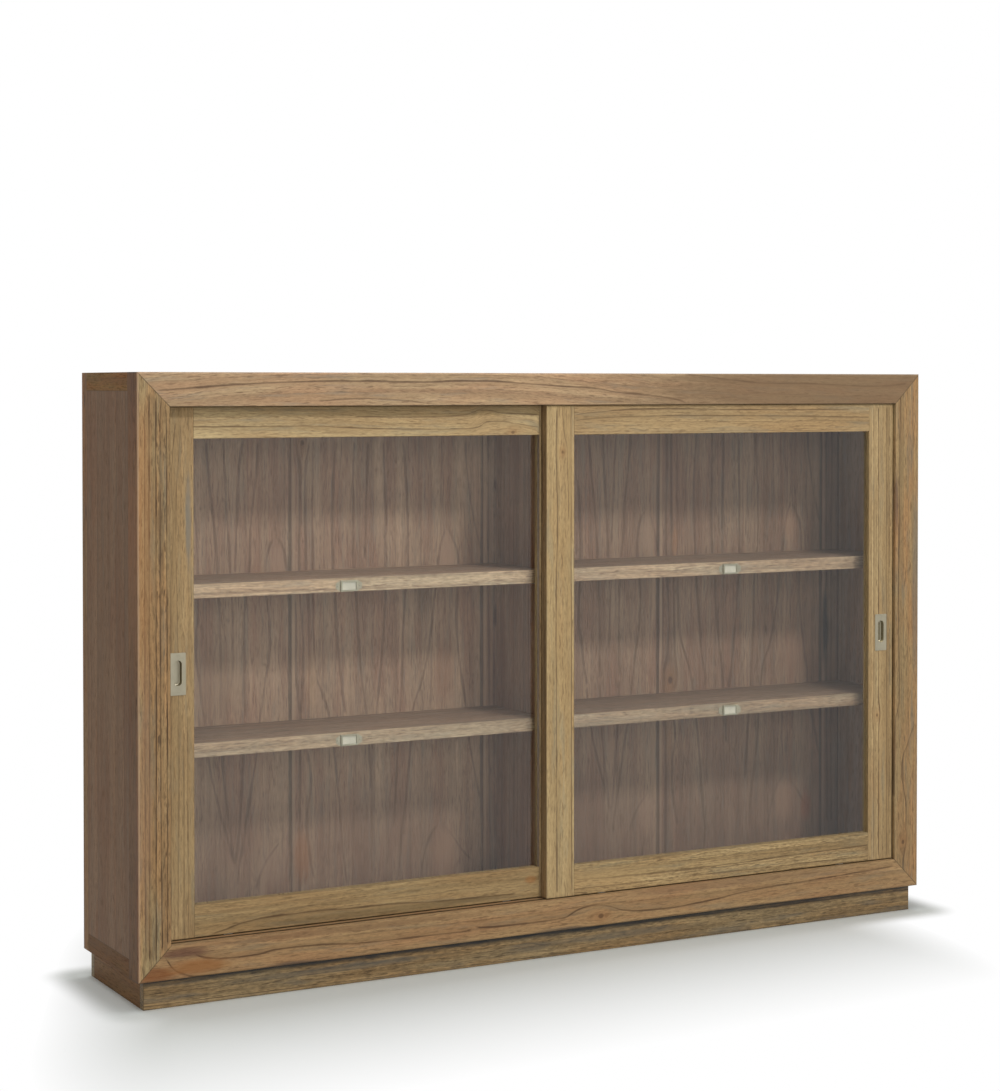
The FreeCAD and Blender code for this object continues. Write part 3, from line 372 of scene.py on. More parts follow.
def line_group():
    """One grain line that follows its own course across the board, with a soft shade on one side."""
    n, given = open_group(
        "Grain Line", {"Board": None, "Ragged": 0.5, "Course": 0, "Start": -1, "End": 1, "Width": 0.002,
                       "Shade Width": 0.012, "Shade Side": 1}, ("Line", "Shade"))
    along, across, _ = n.split(given["Board"])
    ragged, fade = given["Ragged"], 0.012
    off = across - given["Course"] + (ragged - 0.5) * 0.0022
    inside = n.ramp(along - given["Start"], 0, fade) * n.ramp(given["End"] - along, 0, fade)
    width = given["Width"] * n.ramp(ragged, 0.3, 0.7, 1.35, 0.65)
    line = (1 - n.ramp(abs(off) / width, 0.3, 1)) * n.ramp(ragged, 0.3, 0.66, 1, 0.6)
    side = off * given["Shade Side"] / given["Shade Width"]
    soft = n.ramp(side, 0, 0.05) * n.ramp(side, 0, 1, 1, 0, smooth=False)
    return n.close({"Line": line * inside, "Shade": soft * inside})


def patch_group():
    """A soft-edged patch on a board, long with the grain and ragged."""
    n, given = open_group("Board Patch", {"Board": None, "Along": 0, "Across": 0, "Length": 0.1, "Width": 0.02,
                                          "Ragged": 0.6}, ("Patch",))
    along, across, _ = n.split(given["Board"])
    a, b = (along - given["Along"]) / given["Length"], (across - given["Across"]) / given["Width"]
    rough = n.noise(n.vector("MULTIPLY", given["Board"], (22, 140, 140)), 3, 0.6)
    far = n.math("SQRT", a * a + b * b) + (rough - 0.5) * given["Ragged"]
    return n.close({"Patch": 1 - n.ramp(far, 0.35, 1.05)})


def edge_group():
    """How near a place on a box-shaped piece is to one of its edges."""
    n, given = open_group("Piece Edge", {"Place": None, "Low": None, "High": None, "Width": 0.003}, ("Edge",))
    x, y, z = n.split(n.vector("MINIMUM", n.vector("SUBTRACT", given["Place"], given["Low"]),
                               n.vector("SUBTRACT", given["High"], given["Place"])))
    least = n.math("MINIMUM", x, n.math("MINIMUM", y, z))
    most = n.math("MAXIMUM", x, n.math("MAXIMUM", y, z))
    middle = x + (y + z) - least - most
    return n.close({"Edge": 1 - n.ramp(middle / given["Width"], 0.1, 1)})


def mitre_group():
    """The thin dark line of the four mitres, seen on every face that a mitre cuts."""
    n, given = open_group("Mitre Line", {"Place": None, "Half Span": 1, "Low": 0.06, "High": 1.31,
                                         "Width": 0.0016}, ("Line",))
    x, _, z = n.split(given["Place"])
    side = given["Half Span"] - abs(x)
    above, below = abs(side - (given["High"] - z)), abs(side - (z - given["Low"]))
    off = n.math("MINIMUM", above, below) * math.sqrt(0.5)
    rubbed = n.noise(n.vector("MULTIPLY", given["Place"], (60, 60, 60)))
    line = 1 - n.ramp(off / given["Width"], 0.2, 1)
    return n.close({"Line": line * n.ramp(rubbed, 0.3, 0.6, 0.5, 1)})


def oiled_wood_group(grain):
    """Colour, roughness and relief of a brushed, oiled board."""
    colours = {"Pale": (0.5, 0.4, 0.3), "Deep": (0.3, 0.2, 0.1), "Warm": (0.5, 0.3, 0.2),
               "Line": (0.1, 0.05, 0.03), "Wash": (0.2, 0.2, 0.2)}
    strengths = {"Line Strength": 0.8, "Band Strength": 0.5, "Fibre Strength": 0.5, "Pore Strength": 0.3,
                 "Wash Amount": 0.4}
    n, given = open_group("Oiled Wood", {**GRAIN_INPUTS, **colours, **strengths},
                          ("Colour", "Roughness", "Relief"))
    g = n.group(grain, {name: given[name] for name in GRAIN_INPUTS})
    tint = n.mix(g["Patch"], given["Pale"], given["Warm"])
    band = (g["Late"] * 0.45 + g["Ring Tone"] * 0.55) * given["Band Strength"]
    tint = n.mix(band, tint, given["Deep"])
    light = n.ramp(g["Fibre"], 0.3, 0.7, -1, 1, smooth=False)
    light = (light * given["Fibre Strength"]).scaled(0.26, 1)
    tint = n.wire(n.add("VectorMath", tint, operation="SCALE", named={"Scale": light}))
    for mask, strength, mark in (("Pore", "Pore Strength", "Line"), ("Wash", "Wash Amount", "Wash"),
                                 ("Line", "Line Strength", "Line")):
        tint = n.mix(g[mask] * given[strength], tint, given[mark])
    rough = g["Fibre"].scaled(0.16, 0.46)
    relief = g["Line"].scaled(-0.7, g["Fibre"] * 0.8)
    return n.close({"Colour": tint, "Roughness": g["Pore"].scaled(0.15, rough),
                    "Relief": g["Pore"].scaled(-0.6, relief)})


def metal_group():
    """Fine scratches, smears and tone of a satin metal or a moulded surface."""
    n, given = open_group("Satin Surface", {"Place": None, "Stretch": None, "Base": (0.5, 0.5, 0.5),
                                            "Worn": (0.6, 0.6, 0.6), "Rough": 0.35, "Spread": 0.12},
                          ("Colour", "Roughness", "Relief"))
    fine = n.noise(n.vector("MULTIPLY", given["Place"], given["Stretch"]), 3, 0.6)
    smear = n.noise(n.vector("MULTIPLY", given["Place"], (38, 38, 38)))
    rough = (fine + smear - 1) * given["Spread"]
    return n.close({"Colour": n.mix(n.ramp(smear, 0.35, 0.7), given["Base"], given["Worn"]),
                    "Roughness": n.math("ADD", rough, given["Rough"], clamp=True), "Relief": fine})


GROUPS = {}


def groups():
    """The shared effects, built once."""
    if not GROUPS:
        GROUPS.update(knot=knot_group(), line=line_group(), patch=patch_group(), edge=edge_group(),
                      mitre=mitre_group(), wood=oiled_wood_group(grain_group()), satin=metal_group())
    return GROUPS


# ---------------- materials


def new_material(name):
    """An empty material with its output, as (material, nodes, output)."""
    material = bpy.data.materials.new(name)
    material.use_nodes = True
    material.node_tree.nodes.clear()
    nodes = Nodes(material.node_tree)
    return material, nodes, nodes.add("OutputMaterial")


def principled(nodes, output, relief=None, distance=0.0003, strength=0.5, **named):
    """A Principled shader joined to the material's output, with an optional relief."""
    shader = nodes.add("BsdfPrincipled")
    for name, value in named.items():
        nodes.feed(shader, name.replace("_", " ").title().replace("Ior", "IOR"), value)
    if relief is not None:
        bump = nodes.add("Bump", named={"Strength": strength, "Distance": distance, "Height": relief})
        nodes.feed(shader, "Normal", nodes.wire(bump))
    nodes.feed(output, "Surface", nodes.wire(shader))
    return shader


def dress(node, material):
    """Gives a CAD node its finish in each of its own material slots."""
    mesh = NODES[node].data
    if not mesh.materials:
        mesh.materials.append(material)
    for place in range(len(mesh.materials)):
        mesh.materials[place] = material


def metres(values):
    """Millimetres as metres."""
    return [value / 1000 for value in values]


def course(row):
    """Points of (along, across) in metres, from one row of millimetres."""
    return list(zip(metres(row[::2]), metres(row[1::2])))


def curve_value(n, value, points):
    """A smooth curve through points of (along, across), both in metres."""
    first, last = points[0][0], points[-1][0]
    heights = [point[1] for point in points]
    low = min(heights)
    span = max(max(heights) - low, 1e-6)
    bend = n.add("FloatCurve", named={"Value": n.ramp(value, first, last, smooth=False)})
    curve = bend.mapping.curves[0]
    for i, (along, across) in enumerate(points):
        place = ((along - first) / (last - first), (across - low) / span)
        if i in (0, len(points) - 1):
            curve.points[0 if i == 0 else -1].location = place
        else:
            curve.points.new(*place)
    bend.mapping.update()
    return n.wire(bend).scaled(span, low)


HEART = -0.2  # the tree's heart lies this far below a board's own edge
LIP = 0.0045  # thickness of the shelves' front lipping
ARRIS_START, ARRIS_DEPTH = 0.9965, 0.003
KNOT_HALO, HALO_STRENGTH, KNOT_STRENGTH = (138, 96, 58), 0.45, 0.65
SHADE_STRENGTH, MITRE_STRENGTH, ARRIS_STRENGTH = 0.45, 0.8, 0.55


def wood(node, tones, grain="X", across="Z", gap=0.012, depth=0, taper=0.004, wobble=0.0016, width=0.002,
         line=0.8, band=0.7, fibre=1.35, pore=0.52, wash=0.35, tone=(1, 1, 1), bend=None, lines=(), knots=(),
         patches=(), joint=0.5, lipping=None, mitred=False, arris_highlight=None, outer=None, shine=0.32):
    """The oiled wood of one board, with its bend, lines, knots and patches given as in the tables below."""
    shared, kept = groups(), settings()
    material, n, output = new_material(node + "_wood")
    deep = ({"X", "Y", "Z"} - {grain, across}).pop()
    place = n.place()
    split = n.split(place)
    board = n.join(*(split["XYZ".index(axis)] for axis in (grain, across, deep)))
    knotted = []
    for knot in knots:
        where = dict(zip(("Along", "Across", "Size"), metres(knot)))
        knotted.append(n.group(shared["knot"], {"Board": board, **where}))
        board = knotted[-1]["Board"]
    bent = board
    start = 0
    if bend:
        start = bend[1] / 1000
        shift = curve_value(n, n.split(board)[0], course(bend)) * -1
        bent = n.vector("ADD", board, n.join(0, shift, 0))
    low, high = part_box(node)
    inputs = {"Board": bent, "Ring Gap": gap, "Heart": low["XYZ".index(across)] + HEART - start, "Depth": depth,
              "Taper": taper, "Wobble": wobble, "Line Width": width, "Seed": (sum(map(ord, node)) % 97) * 0.37,
              "Line Strength": line, "Band Strength": band, "Fibre Strength": fibre, "Pore Strength": pore,
              "Wash Amount": wash}

    def toned(name):
        """The group's colours with this board's own tone."""
        kinds = getattr(kept, name)
        return {key.title(): (*(min(c * t, 1) for c, t in zip(getattr(kinds, key), tone)), 1)
                for key in SHADES}

    inputs.update(toned(tones))
    made = n.group(shared["wood"], inputs)
    tint = made["Colour"]
    # Painted shade: the faces that look left or right are multiplied by this colour. It is darker on the side panels,
    # the jambs and the right door's meeting stile, and greyer on the left door's meeting stile.
    if outer:
        beside = n.math("GREATER_THAN", abs(split[0]), max(high[0], -low[0]) - 0.0005)
        tint = n.mix(beside, tint, outer, blend="MULTIPLY")
    along = n.split(board)[0]
    ragged = n.noise(n.vector("MULTIPLY", board, (11, 70, 70)), 3, 0.6) if lines else None
    for thick, strength, side, *row in lines:
        points = course(row)
        mark = n.group(shared["line"], {
            "Board": board, "Ragged": ragged, "Course": curve_value(n, along, points), "Start": points[0][0],
            "End": points[-1][0], "Width": thick / 1000, "Shade Side": side})
        tint = n.mix(mark["Shade"] * SHADE_STRENGTH, tint, inputs["Deep"])
        tint = n.mix(mark["Line"] * strength, tint, inputs["Line"])
    for *box, screen, strength in patches:
        where = dict(zip(("Along", "Across", "Length", "Width"), metres(box)))
        spot = n.group(shared["patch"], {"Board": board, **where})
        tint = n.mix(spot["Patch"] * strength, tint, shade(*screen))
    for knot in knotted:
        tint = n.mix(knot["Halo"] * HALO_STRENGTH, tint, shade(*KNOT_HALO))
        tint = n.mix(knot["Heart"] * KNOT_STRENGTH, tint, inputs["Line"])
    if lipping:
        inputs.update(toned(lipping))
        mask = n.math("LESS_THAN", split[1], low[1] + LIP)
        tint = n.mix(mask, tint, n.group(shared["wood"], inputs)["Colour"])
    dark = tuple(c * 0.5 for c in inputs["Deep"][:3])
    rim = n.group(shared["edge"], {"Place": place, "Low": tuple(low), "High": tuple(high),
                                   "Width": kept.grain.edge})
    tint = n.mix(rim["Edge"] * joint, tint, dark)
    if mitred:
        cut = n.group(shared["mitre"], {"Place": place, "Width": kept.grain.mitre})
        tint = n.mix(cut["Line"] * MITRE_STRENGTH, tint, tuple(c * 0.6 for c in dark))
    # Painted highlight: a pale strip down the board's outer front edge. Only the left jamb has one.
    if arris_highlight:
        worn = (n.math("GREATER_THAN", abs(split[0]), ARRIS_START)
                * n.math("LESS_THAN", split[1], low[1] + ARRIS_DEPTH))
        tint = n.mix(worn * ARRIS_STRENGTH, tint, shade(*arris_highlight))
    principled(n, output, relief=made["Relief"], distance=kept.grain.relief, strength=0.6,
               base_color=tint, roughness=made["Roughness"], specular_ior_level=shine)
    dress(node, material)


def satin(name, key, stretch, rough, spread, metallic=0, worn=1.12, clear=0.5):
    """A satin finish in one of the fittings' colours. The stretch sets how fine its scratches are along each axis."""
    material, n, output = new_material(name)
    tint = tuple(getattr(settings().fittings, key))
    made = n.group(groups()["satin"], {
        "Place": n.place(), "Stretch": stretch, "Base": (*tint, 1), "Rough": rough, "Spread": spread,
        "Worn": (*(min(c * worn, 1) for c in tint), 1)})
    principled(n, output, relief=made["Relief"], distance=0.00005, strength=0.4, base_color=made["Colour"],
               roughness=made["Roughness"], metallic=metallic, specular_ior_level=clear)
    return material


# ---------------- boards


# Bends, lines, knots and patches are in millimetres in the bookcase's own frame, and the other lengths in metres.
# A course is a row of along, across, along, across, and a bend is a course. A line is (width, strength, shaded side,
# *course), a knot (along, across, size) and a patch (along, across, length, width, screen colour, strength).
UPRIGHT = dict(grain="Z", across="X")
FRONT_BOARDS = {
    "frame_head": dict(tones="frame", gap=0.03, line=0.3, band=0.6, joint=0.75, bend=(-1000, 1270, -885, 1277.2, -764,
        1285.5, -500, 1292, -200, 1292, 100, 1276, 350, 1260, 600, 1252, 850, 1247, 1000, 1250), lines=[(2.7, 0.85,
        -1, -960, 1272.5, -885, 1277.2, -764, 1285.5, -640, 1290.5, -500, 1292, -365, 1290, -223.6, 1292.5, -100,
        1287.4, 0, 1281, 70, 1277.6, 142, 1267.5, 255, 1257.5, 330, 1241), (1.9, 0.6, 1, -600, 1247, -500, 1254.3,
        -456, 1253.5, -387, 1249, -340, 1243), (2.5, 0.85, -1, 320, 1309.5, 462.5, 1295.4, 538, 1288.5, 625, 1287.8,
        736, 1285.5, 850, 1281, 907, 1282.9, 965, 1288)], patches=[(720, 1275, 750, 120, (106, 83, 59), 0.75)],
        tone=(1.04, 1.1, 1.1)),
    "frame_sill": dict(tones="frame", gap=0.034, line=0.25, band=0.6, lines=[(2.6, 0.85, 1, -880, 116.7, -805, 91.4,
        -753.5, 90.6, -688, 96.8, -642, 96.8, -502, 88.4, -419, 86.6, -317.5, 86.1, -244, 85.5, -229, 95.5), (2.6,
        0.85, 1, -223.8, 90.4, -103, 85.6, 0, 87.9, 70, 103.9, 117, 96.8, 170, 86.5, 257, 80.8, 358, 84, 520, 98.8,
        684, 104.7, 924, 113.6), (3.8, 1, 1, -945.5, 113.9, -937, 98.5, -922, 80.1, -900, 68.2, -876, 61.2, -834,
        58.5)], tone=(0.87, 0.84, 0.7), knots=[(98.7, 81.7, 8)], patches=[(-965, 75, 55, 22, (116, 66, 28), 0.75),
        (-870, 82, 90, 20, (136, 88, 44), 0.75), (-900, 113, 75, 14, (86, 54, 42), 0.75),
        (-650, 60, 90, 9, (62, 56, 54), 0.7), (-500, 122, 450, 10, (104, 74, 50), 0.5),
        (450, 122, 400, 12, (112, 84, 62), 0.45), (20, 61, 120, 8, (66, 60, 58), 0.6),
        (500, 60, 200, 6, (70, 62, 56), 0.5)]),
    # The left jamb's arris colour is a painted highlight along its outer front edge, and its outer colour is painted
    # shade on its outer side face.
    "frame_jamb_left": dict(tones="jamb", **UPRIGHT, gap=0.014, line=0.25, band=0.5, wobble=0.001, width=0.0016,
        pore=0.8, fibre=1.8, arris_highlight=(190, 156, 128), outer=(0.42, 0.25, 0.085), shine=0.2, tone=(0.89, 1.03, 1.1),
        lines=[(1.8, 0.8, 1, 100, -985, 600, -985, 1250, -983.7), (1.8, 0.95, 1, 100, -976.5, 600, -975.5, 1270,
        -974.5), (1.8, 0.95, -1, 100, -962.5, 700, -960.5, 1260, -959.7), (1.8, 0.9, 1, 120, -949.1, 700, -951.5,
        1000, -951.4, 1250, -948.6), (1.8, 0.95, 1, 130, -937.9, 700, -937, 1240, -937.8)],
        patches=[(950, -988, 400, 26, (158, 112, 72), 0.4), (450, -985, 350, 20, (144, 112, 88), 0.4),
        (1000, -952, 50, 10, (84, 66, 50), 0.4), (930, -950, 40, 9, (80, 64, 50), 0.35)]),
    # The right jamb's outer colour is painted shade on its outer side face.
    "frame_jamb_right": dict(tones="jamb", **UPRIGHT, gap=0.015, line=0.5, wobble=0.002, width=0.0018, pore=0.6,
        outer=(0.8, 0.66, 0.55), lines=[(2.2, 0.8, 1, 100, 954.6, 200, 961.6, 250, 964.5, 297.4, 958.1, 346.7, 951.8,
        409.7, 969.3, 461, 992.6), (2.2, 0.8, 1, 280, 929.5, 465, 931.2, 532.8, 942.5, 742.4, 938.8, 1000, 941, 1280,
        943)], knots=[(170.4, 955.6, 6)], patches=[(1000, 933, 100, 7, (78, 58, 52), 0.6),
        (800, 990, 300, 12, (100, 96, 88), 0.5)], tone=(0.88, 0.98, 1)),
}

DOOR_BOARDS = {
    "left_door_outer_stile": dict(tone=(0.98, 0.98, 0.97), **UPRIGHT, gap=0.02, line=0.3, width=0.0016, lines=[(1.5,
        0.6, 1, 160, -917.3, 500, -916, 840, -915.4, 922, -913, 1005, -910.6, 1075, -914.3, 1127, -912, 1209, -904.1),
        (1.5, 0.6, -1, 154, -902.2, 362, -899.8, 632, -899, 839, -902.3, 1005, -904, 1108, -899.4, 1201, -892.5),
        (1.4, 0.6, 1, 135, -889, 360, -888.4, 550, -889), (1.4, 0.6, 1, 135, -880.2, 360, -879.6, 600, -880)],
        patches=[(1000, -877, 130, 8, (112, 110, 104), 0.6), (1120, -925, 140, 8, (112, 104, 84), 0.5)]),
    "left_door_meeting_stile": dict(**UPRIGHT, gap=0.013, line=0.7, outer=(0.9, 1.05, 1.7)),
    # The left door's top rail has one patch, a painted shadow: a dark band along its top, under the frame's head.
    "left_door_top_rail": dict(tone=(1.17, 1.23, 1.27), gap=0.03, line=0.4, wobble=0.002, bend=(-900, 1197, -600,
        1197, -302, 1187.4, -225.5, 1187.8, -158, 1203.4, -46, 1189.7), lines=[(2, 0.75, -1, -900, 1197.2, -740,
        1196.4, -625, 1196.6, -485, 1191.1, -302, 1187.4, -225.5, 1187.8, -188, 1195.3, -158, 1203.4, -110, 1196.9,
        -40, 1189.3), (2, 0.7, 1, -500, 1215.5, -302, 1214.1, -244, 1216.6, -205.6, 1225, -188, 1228.2, -143, 1222.4,
        -40, 1216.5)], knots=[(-110, 1178.4, 5)], patches=[(-450, 1236, 800, 17, (92, 72, 48), 0.4)]),
    # On the left door's bottom rail, the second patch and the shade below its line are painted shade on the rail's
    # lower part, just above the sill.
    "left_door_bottom_rail": dict(tone=(0.86, 0.85, 0.8), gap=0.016, line=0.3, band=0.9, wobble=0.012, lines=[(2.6,
        0.9, -1, -830, 137, -800, 142.6, -739, 155.6, -695, 158.8, -607, 159.9, -486.5, 156.8, -426.7, 156.5, -301.5,
        150.5, -100, 147)], patches=[(-65, 175, 20, 12, (150, 96, 48), 0.5), (-450, 144, 400, 9, (98, 82, 54), 0.5)]),
    "right_door_outer_stile": dict(tone=(1.03, 1.04, 1.03), **UPRIGHT, gap=0.016, line=0.3, width=0.0016,
        lines=[(1.5, 0.7, 1, 135, 873, 700, 871, 1235, 869), (1.9, 0.9, 1, 135, 887.2, 700, 885.2, 1235, 882.8), (1.9,
        0.85, -1, 135, 912.3, 700, 910.3, 1235, 908), (1.5, 0.65, -1, 135, 919.2, 700, 917.2, 1235, 915)],
        knots=[(484.7, 881.6, 4.5)]),
    # The right door's meeting stile's outer colour is painted shade on its left face.
    "right_door_meeting_stile": dict(tone=(1.14, 1.17, 1.15), **UPRIGHT, gap=0.02, line=0.5, wobble=0.002,
        outer=(0.68, 0.62, 0.62), lines=[(2.1, 0.8, 1, 140, -12, 500, -13, 802.6, -14.5, 981.7, -10.7, 1138.4, -13.4,
        1236, -12.1), (1.8, 0.7, 1, 980, 18, 1060, 16.5, 1130, 12.5, 1190, 5, 1236, 1),
        (1.4, 0.6, -1, 140, 27, 600, 26, 1236, 26.5)], knots=[(1133.7, 2.9, 4)]),
    "right_door_top_rail": dict(gap=0.02, line=0.6, wobble=0.003, lines=[(2.2, 0.8, -1, 32, 1211, 97, 1223.4, 260,
        1229.2, 500, 1226.2, 800, 1226), (2.2, 0.7, -1, 32, 1199, 260, 1213.5, 500, 1212, 860, 1206)]),
    "right_door_bottom_rail": dict(tone=(0.95, 0.96, 0.92), gap=0.014, line=0.7, wobble=0.002, fibre=2.6, pore=0.75,
        patches=[(100, 170, 200, 30, (176, 146, 100), 0.4)], lines=[(2.6, 0.9, 1, 32, 173.2, 261.4, 163.5, 416.9,
        163.8, 634.4, 167.8, 860, 171), (1.4, 0.5, -1, 32, 187, 300, 184, 600, 186, 860, 189)]),
}

SIDE_BOARDS = {}
# The side panels' raised tone is painted light on their inner faces, and their outer colour is painted shade on their
# outer faces.
for _side in ("left", "right"):
    SIDE_BOARDS[_side + "_side_panel"] = dict(tones="side", grain="Z", across="Y", gap=0.02, line=0.4, band=0.6,
        fibre=1, tone=(1.6, 1.68, 1.8), shine=0.14, outer=(0.53, 0.425, 0.3))
    SIDE_BOARDS[_side + "_side_back_stile"] = dict(tones="side_rail", grain="Z", across="Y", line=0.6,
        tone=(1.08, 1.12, 1.02), shine=0.14, patches=[(1250, 157, 20, 6, (60, 44, 36), 0.6),
        (1010, 150, 25, 6, (62, 46, 38), 0.6)])
    for _end, _tone in (("top", (0.92, 0.84, 0.4)), ("bottom", (0.65, 0.51, 0.18))):
        SIDE_BOARDS[f"{_side}_side_{_end}_rail"] = dict(tones="side_rail", grain="Y", across="Z", line=0.6,
            tone=_tone, shine=0.12)

TOP_AND_FLOOR_BOARDS = {
    "top_board": dict(tones="frame", across="Y", gap=0.03, depth=0.05, taper=0.03, wobble=0.006),
    "bottom_board": dict(tones="back", across="Y", gap=0.026, depth=0.05, taper=0.03, wobble=0.005),
    "centre_divider": dict(tones="back", grain="Z", across="Y", gap=0.022, wobble=0.004, tone=(1.3, 1.3, 1.3)),
}

LEAF_START, LEAF_PITCH, LEAF_RISE = -1019.5, 486.5, 17.5
HEART_LEAF = [
    (528, 283, 568, 276, 635, 267, 702, 260, 811, 265, 943, 263, 1032, 254),
    (539, 318, 721, 317, 876, 310, 964, 303, 1031, 296, 1163, 283),
    (609, 342, 719, 347, 875, 341, 985, 334, 1162, 325),
    (863, 352, 941, 355, 1029, 358, 1095, 362, 1162, 370),
    (540, 375, 696, 373, 807, 376, 895, 386, 984, 391, 1073, 401, 1161, 408),
    (167, 355, 229, 363, 295, 375, 383, 389, 453, 402, 533, 411, 626, 424, 692, 433, 759, 433, 849, 424, 894, 427,
        927, 436, 944, 453),
    (836, 484, 870, 477, 915, 468, 944, 453),
    (219, 348, 265, 337, 322, 320, 390, 302, 462, 288, 528, 283),
    (219, 350, 275, 341, 365, 330, 459, 321, 539, 318),
    (219, 352, 274, 358, 362, 365, 455, 370, 540, 375),
    (158, 401, 201, 415, 233, 435, 264, 466),
    (100, 20, 600, 16, 1200, 14),
    (100, 33, 600, 30, 1200, 38),
    (100, 55, 500, 52, 900, 50, 1200, 54),
    (100, 100, 310, 95, 600, 80, 1200, 68),
]
ARCH_LEAF = [
    (147, 137, 227, 127, 342, 118, 434, 108, 537, 93, 583, 78, 653, 59, 800, 54, 1160, 52),
    (535, 133, 592, 125, 683, 116, 797, 108, 979, 101, 1069, 104, 1159, 114),
    (358, 197, 450, 193, 538, 185, 681, 168, 795, 161, 886, 153, 1023, 153, 1159, 156),
    (358, 197, 450, 200, 536, 211, 677, 226, 792, 234, 883, 236, 1158, 229),
    (885, 183, 1022, 186, 1158, 191),
    (262, 254, 422, 264, 560, 274, 790, 282, 881, 292, 1089, 285, 1158, 277),
    (145, 266, 260, 276, 351, 289, 454, 297, 535, 305, 603, 328, 671, 344, 809, 362, 890, 372, 925, 380, 954, 393),
    (312, 480, 372, 467, 443, 453, 526, 443, 596, 432, 667, 422, 737, 417, 877, 422, 924, 409, 954, 393),
    (898, 483, 945, 469, 992, 459, 1062, 448, 1156, 440),
    (139, 323, 196, 333, 241, 349, 269, 375),
    (167, 466, 199, 432, 236, 406, 269, 375),
    (100, 20, 531, 22, 665, 29, 891, 20, 1026, 23, 1160, 20),
    (500, 36, 665, 44, 890, 37, 1025, 35, 1160, 38),
    (166, 55, 235, 43, 281, 38, 337, 41, 382, 48, 416, 46, 462, 34),
    (542, 24, 599, 15, 667, 10, 711, 12, 802, 8),
]
# Patches on every leaf: a dark line along its right edge, a pale line along its left edge and a darker band over its
# low part.
EVERY_LEAF_PATCHES = [
    (650, 483, 750, 6, (64, 52, 45), 0.65),
    (650, 6, 750, 5, (172, 143, 118), 0.55),
    (220, 250, 200, 340, (115, 92, 77), 0.35),
]
LEAF_PATCHES = {
    1: [(870, 453, 80, 24, (166, 134, 112), 0.7), (200, 440, 60, 40, (156, 126, 105), 0.6),
        (620, 310, 120, 80, (149, 121, 98), 0.4)],
    2: [(225, 26, 75, 26, (156, 106, 72), 0.55), (880, 393, 80, 26, (166, 134, 112), 0.65),
        (200, 385, 80, 40, (158, 125, 102), 0.65), (620, 380, 90, 40, (151, 114, 90), 0.45),
        (800, 330, 100, 30, (89, 74, 62), 0.35), (620, 50, 100, 16, (173, 137, 105), 0.4)],
    3: [(920, 453, 70, 22, (160, 130, 108), 0.65), (240, 450, 60, 30, (156, 126, 105), 0.6),
        (740, 34, 30, 8, (69, 49, 38), 0.7), (1050, 34, 20, 6, (74, 51, 38), 0.6),
        (930, 50, 70, 8, (78, 62, 52), 0.6)],
    4: [(930, 388, 60, 22, (162, 126, 102), 0.6), (240, 370, 70, 35, (154, 122, 100), 0.6),
        (600, 390, 90, 50, (140, 104, 84), 0.4), (900, 45, 50, 12, (164, 120, 87), 0.5),
        (450, 30, 120, 14, (160, 123, 92), 0.4), (220, 440, 50, 20, (140, 84, 59), 0.5)],
    5: [(670, 12, 120, 14, (28, 30, 31), 0.85), (900, 38, 130, 8, (164, 132, 103), 0.6),
        (580, 38, 80, 8, (160, 128, 100), 0.6)],
}
LEAF_LIGHTNESS = {1: 1.21, 2: 1.16, 3: 1.03, 4: 0.95, 5: 0.92}
LEAF_KNOTS = {2: [(1154, 28, 7)], 4: [(562, 33, 10)]}
BACK_RAILS = ("back_top_rail", "back_bottom_rail")
SHELVES = {"shelf_left_upper": 1, "shelf_left_lower": 0.84, "shelf_right_upper": 0.86, "shelf_right_lower": 0.7}
PLINTH_SIDE = dict(grain="Y", gap=0.02, line=0.6, wash=0.4, tone=(0.76, 0.54, 0.36), shine=0.14)
PLINTH_BOARDS = {
    # On the plinth's front, the first patch is painted shade: a dark band along its top, under the sill's overhang.
    "plinth_front": dict(gap=0.011, wash=0.5, wobble=0.002, joint=0.7, fibre=2.7, pore=0.75, tone=(0.91, 0.86, 0.78),
        patches=[(0, 63, 2200, 21, (38, 42, 46), 0.92), (-550, 36, 300, 10, (88, 84, 76), 0.5),
        (150, 30, 250, 10, (92, 88, 78), 0.5)]),
    "plinth_back": dict(gap=0.02, line=0.6, wash=0.5, wobble=0.003),
    "plinth_left": PLINTH_SIDE,
    "plinth_right": PLINTH_SIDE,
    "plinth_corner_blocks": UPRIGHT,
}


# ---------------- operators


class PieceOperator:
    """Shared parts of the operators that finish pieces."""

    bl_options = {"REGISTER", "UNDO"}

    def execute(self, context):
        self.finish_pieces(settings())
        return {"FINISHED"}


def wood_all(boards, **shared):
    """Finishes a table of boards, with the values they share."""
    for node, values in boards.items():
        wood(node, **{**shared, **values})


def moved(row, along, across):
    """A course moved along and across its board."""
    return [value + (across if i % 2 else along) for i, value in enumerate(row)]


class BOOKCASE_OT_front_frame(PieceOperator, bpy.types.Operator):
    """Finish the mitred front frame"""

    bl_idname = "bookcase.front_frame"
    bl_label = "Front Frame"

    def finish_pieces(self, kept):
        wood_all(FRONT_BOARDS, mitred=True, joint=0.6)


class BOOKCASE_OT_sides(PieceOperator, bpy.types.Operator):
    """Finish both sides: panels, rails and back stiles"""

    bl_idname = "bookcase.sides"
    bl_label = "Sides"

    def finish_pieces(self, kept):
        wood_all(SIDE_BOARDS)


class BOOKCASE_OT_case_boards(PieceOperator, bpy.types.Operator):
    """Finish the top, the floor and the centre divider"""

    bl_idname = "bookcase.case_boards"
    bl_label = "Top, Floor and Divider"

    def finish_pieces(self, kept):
        wood_all(TOP_AND_FLOOR_BOARDS)


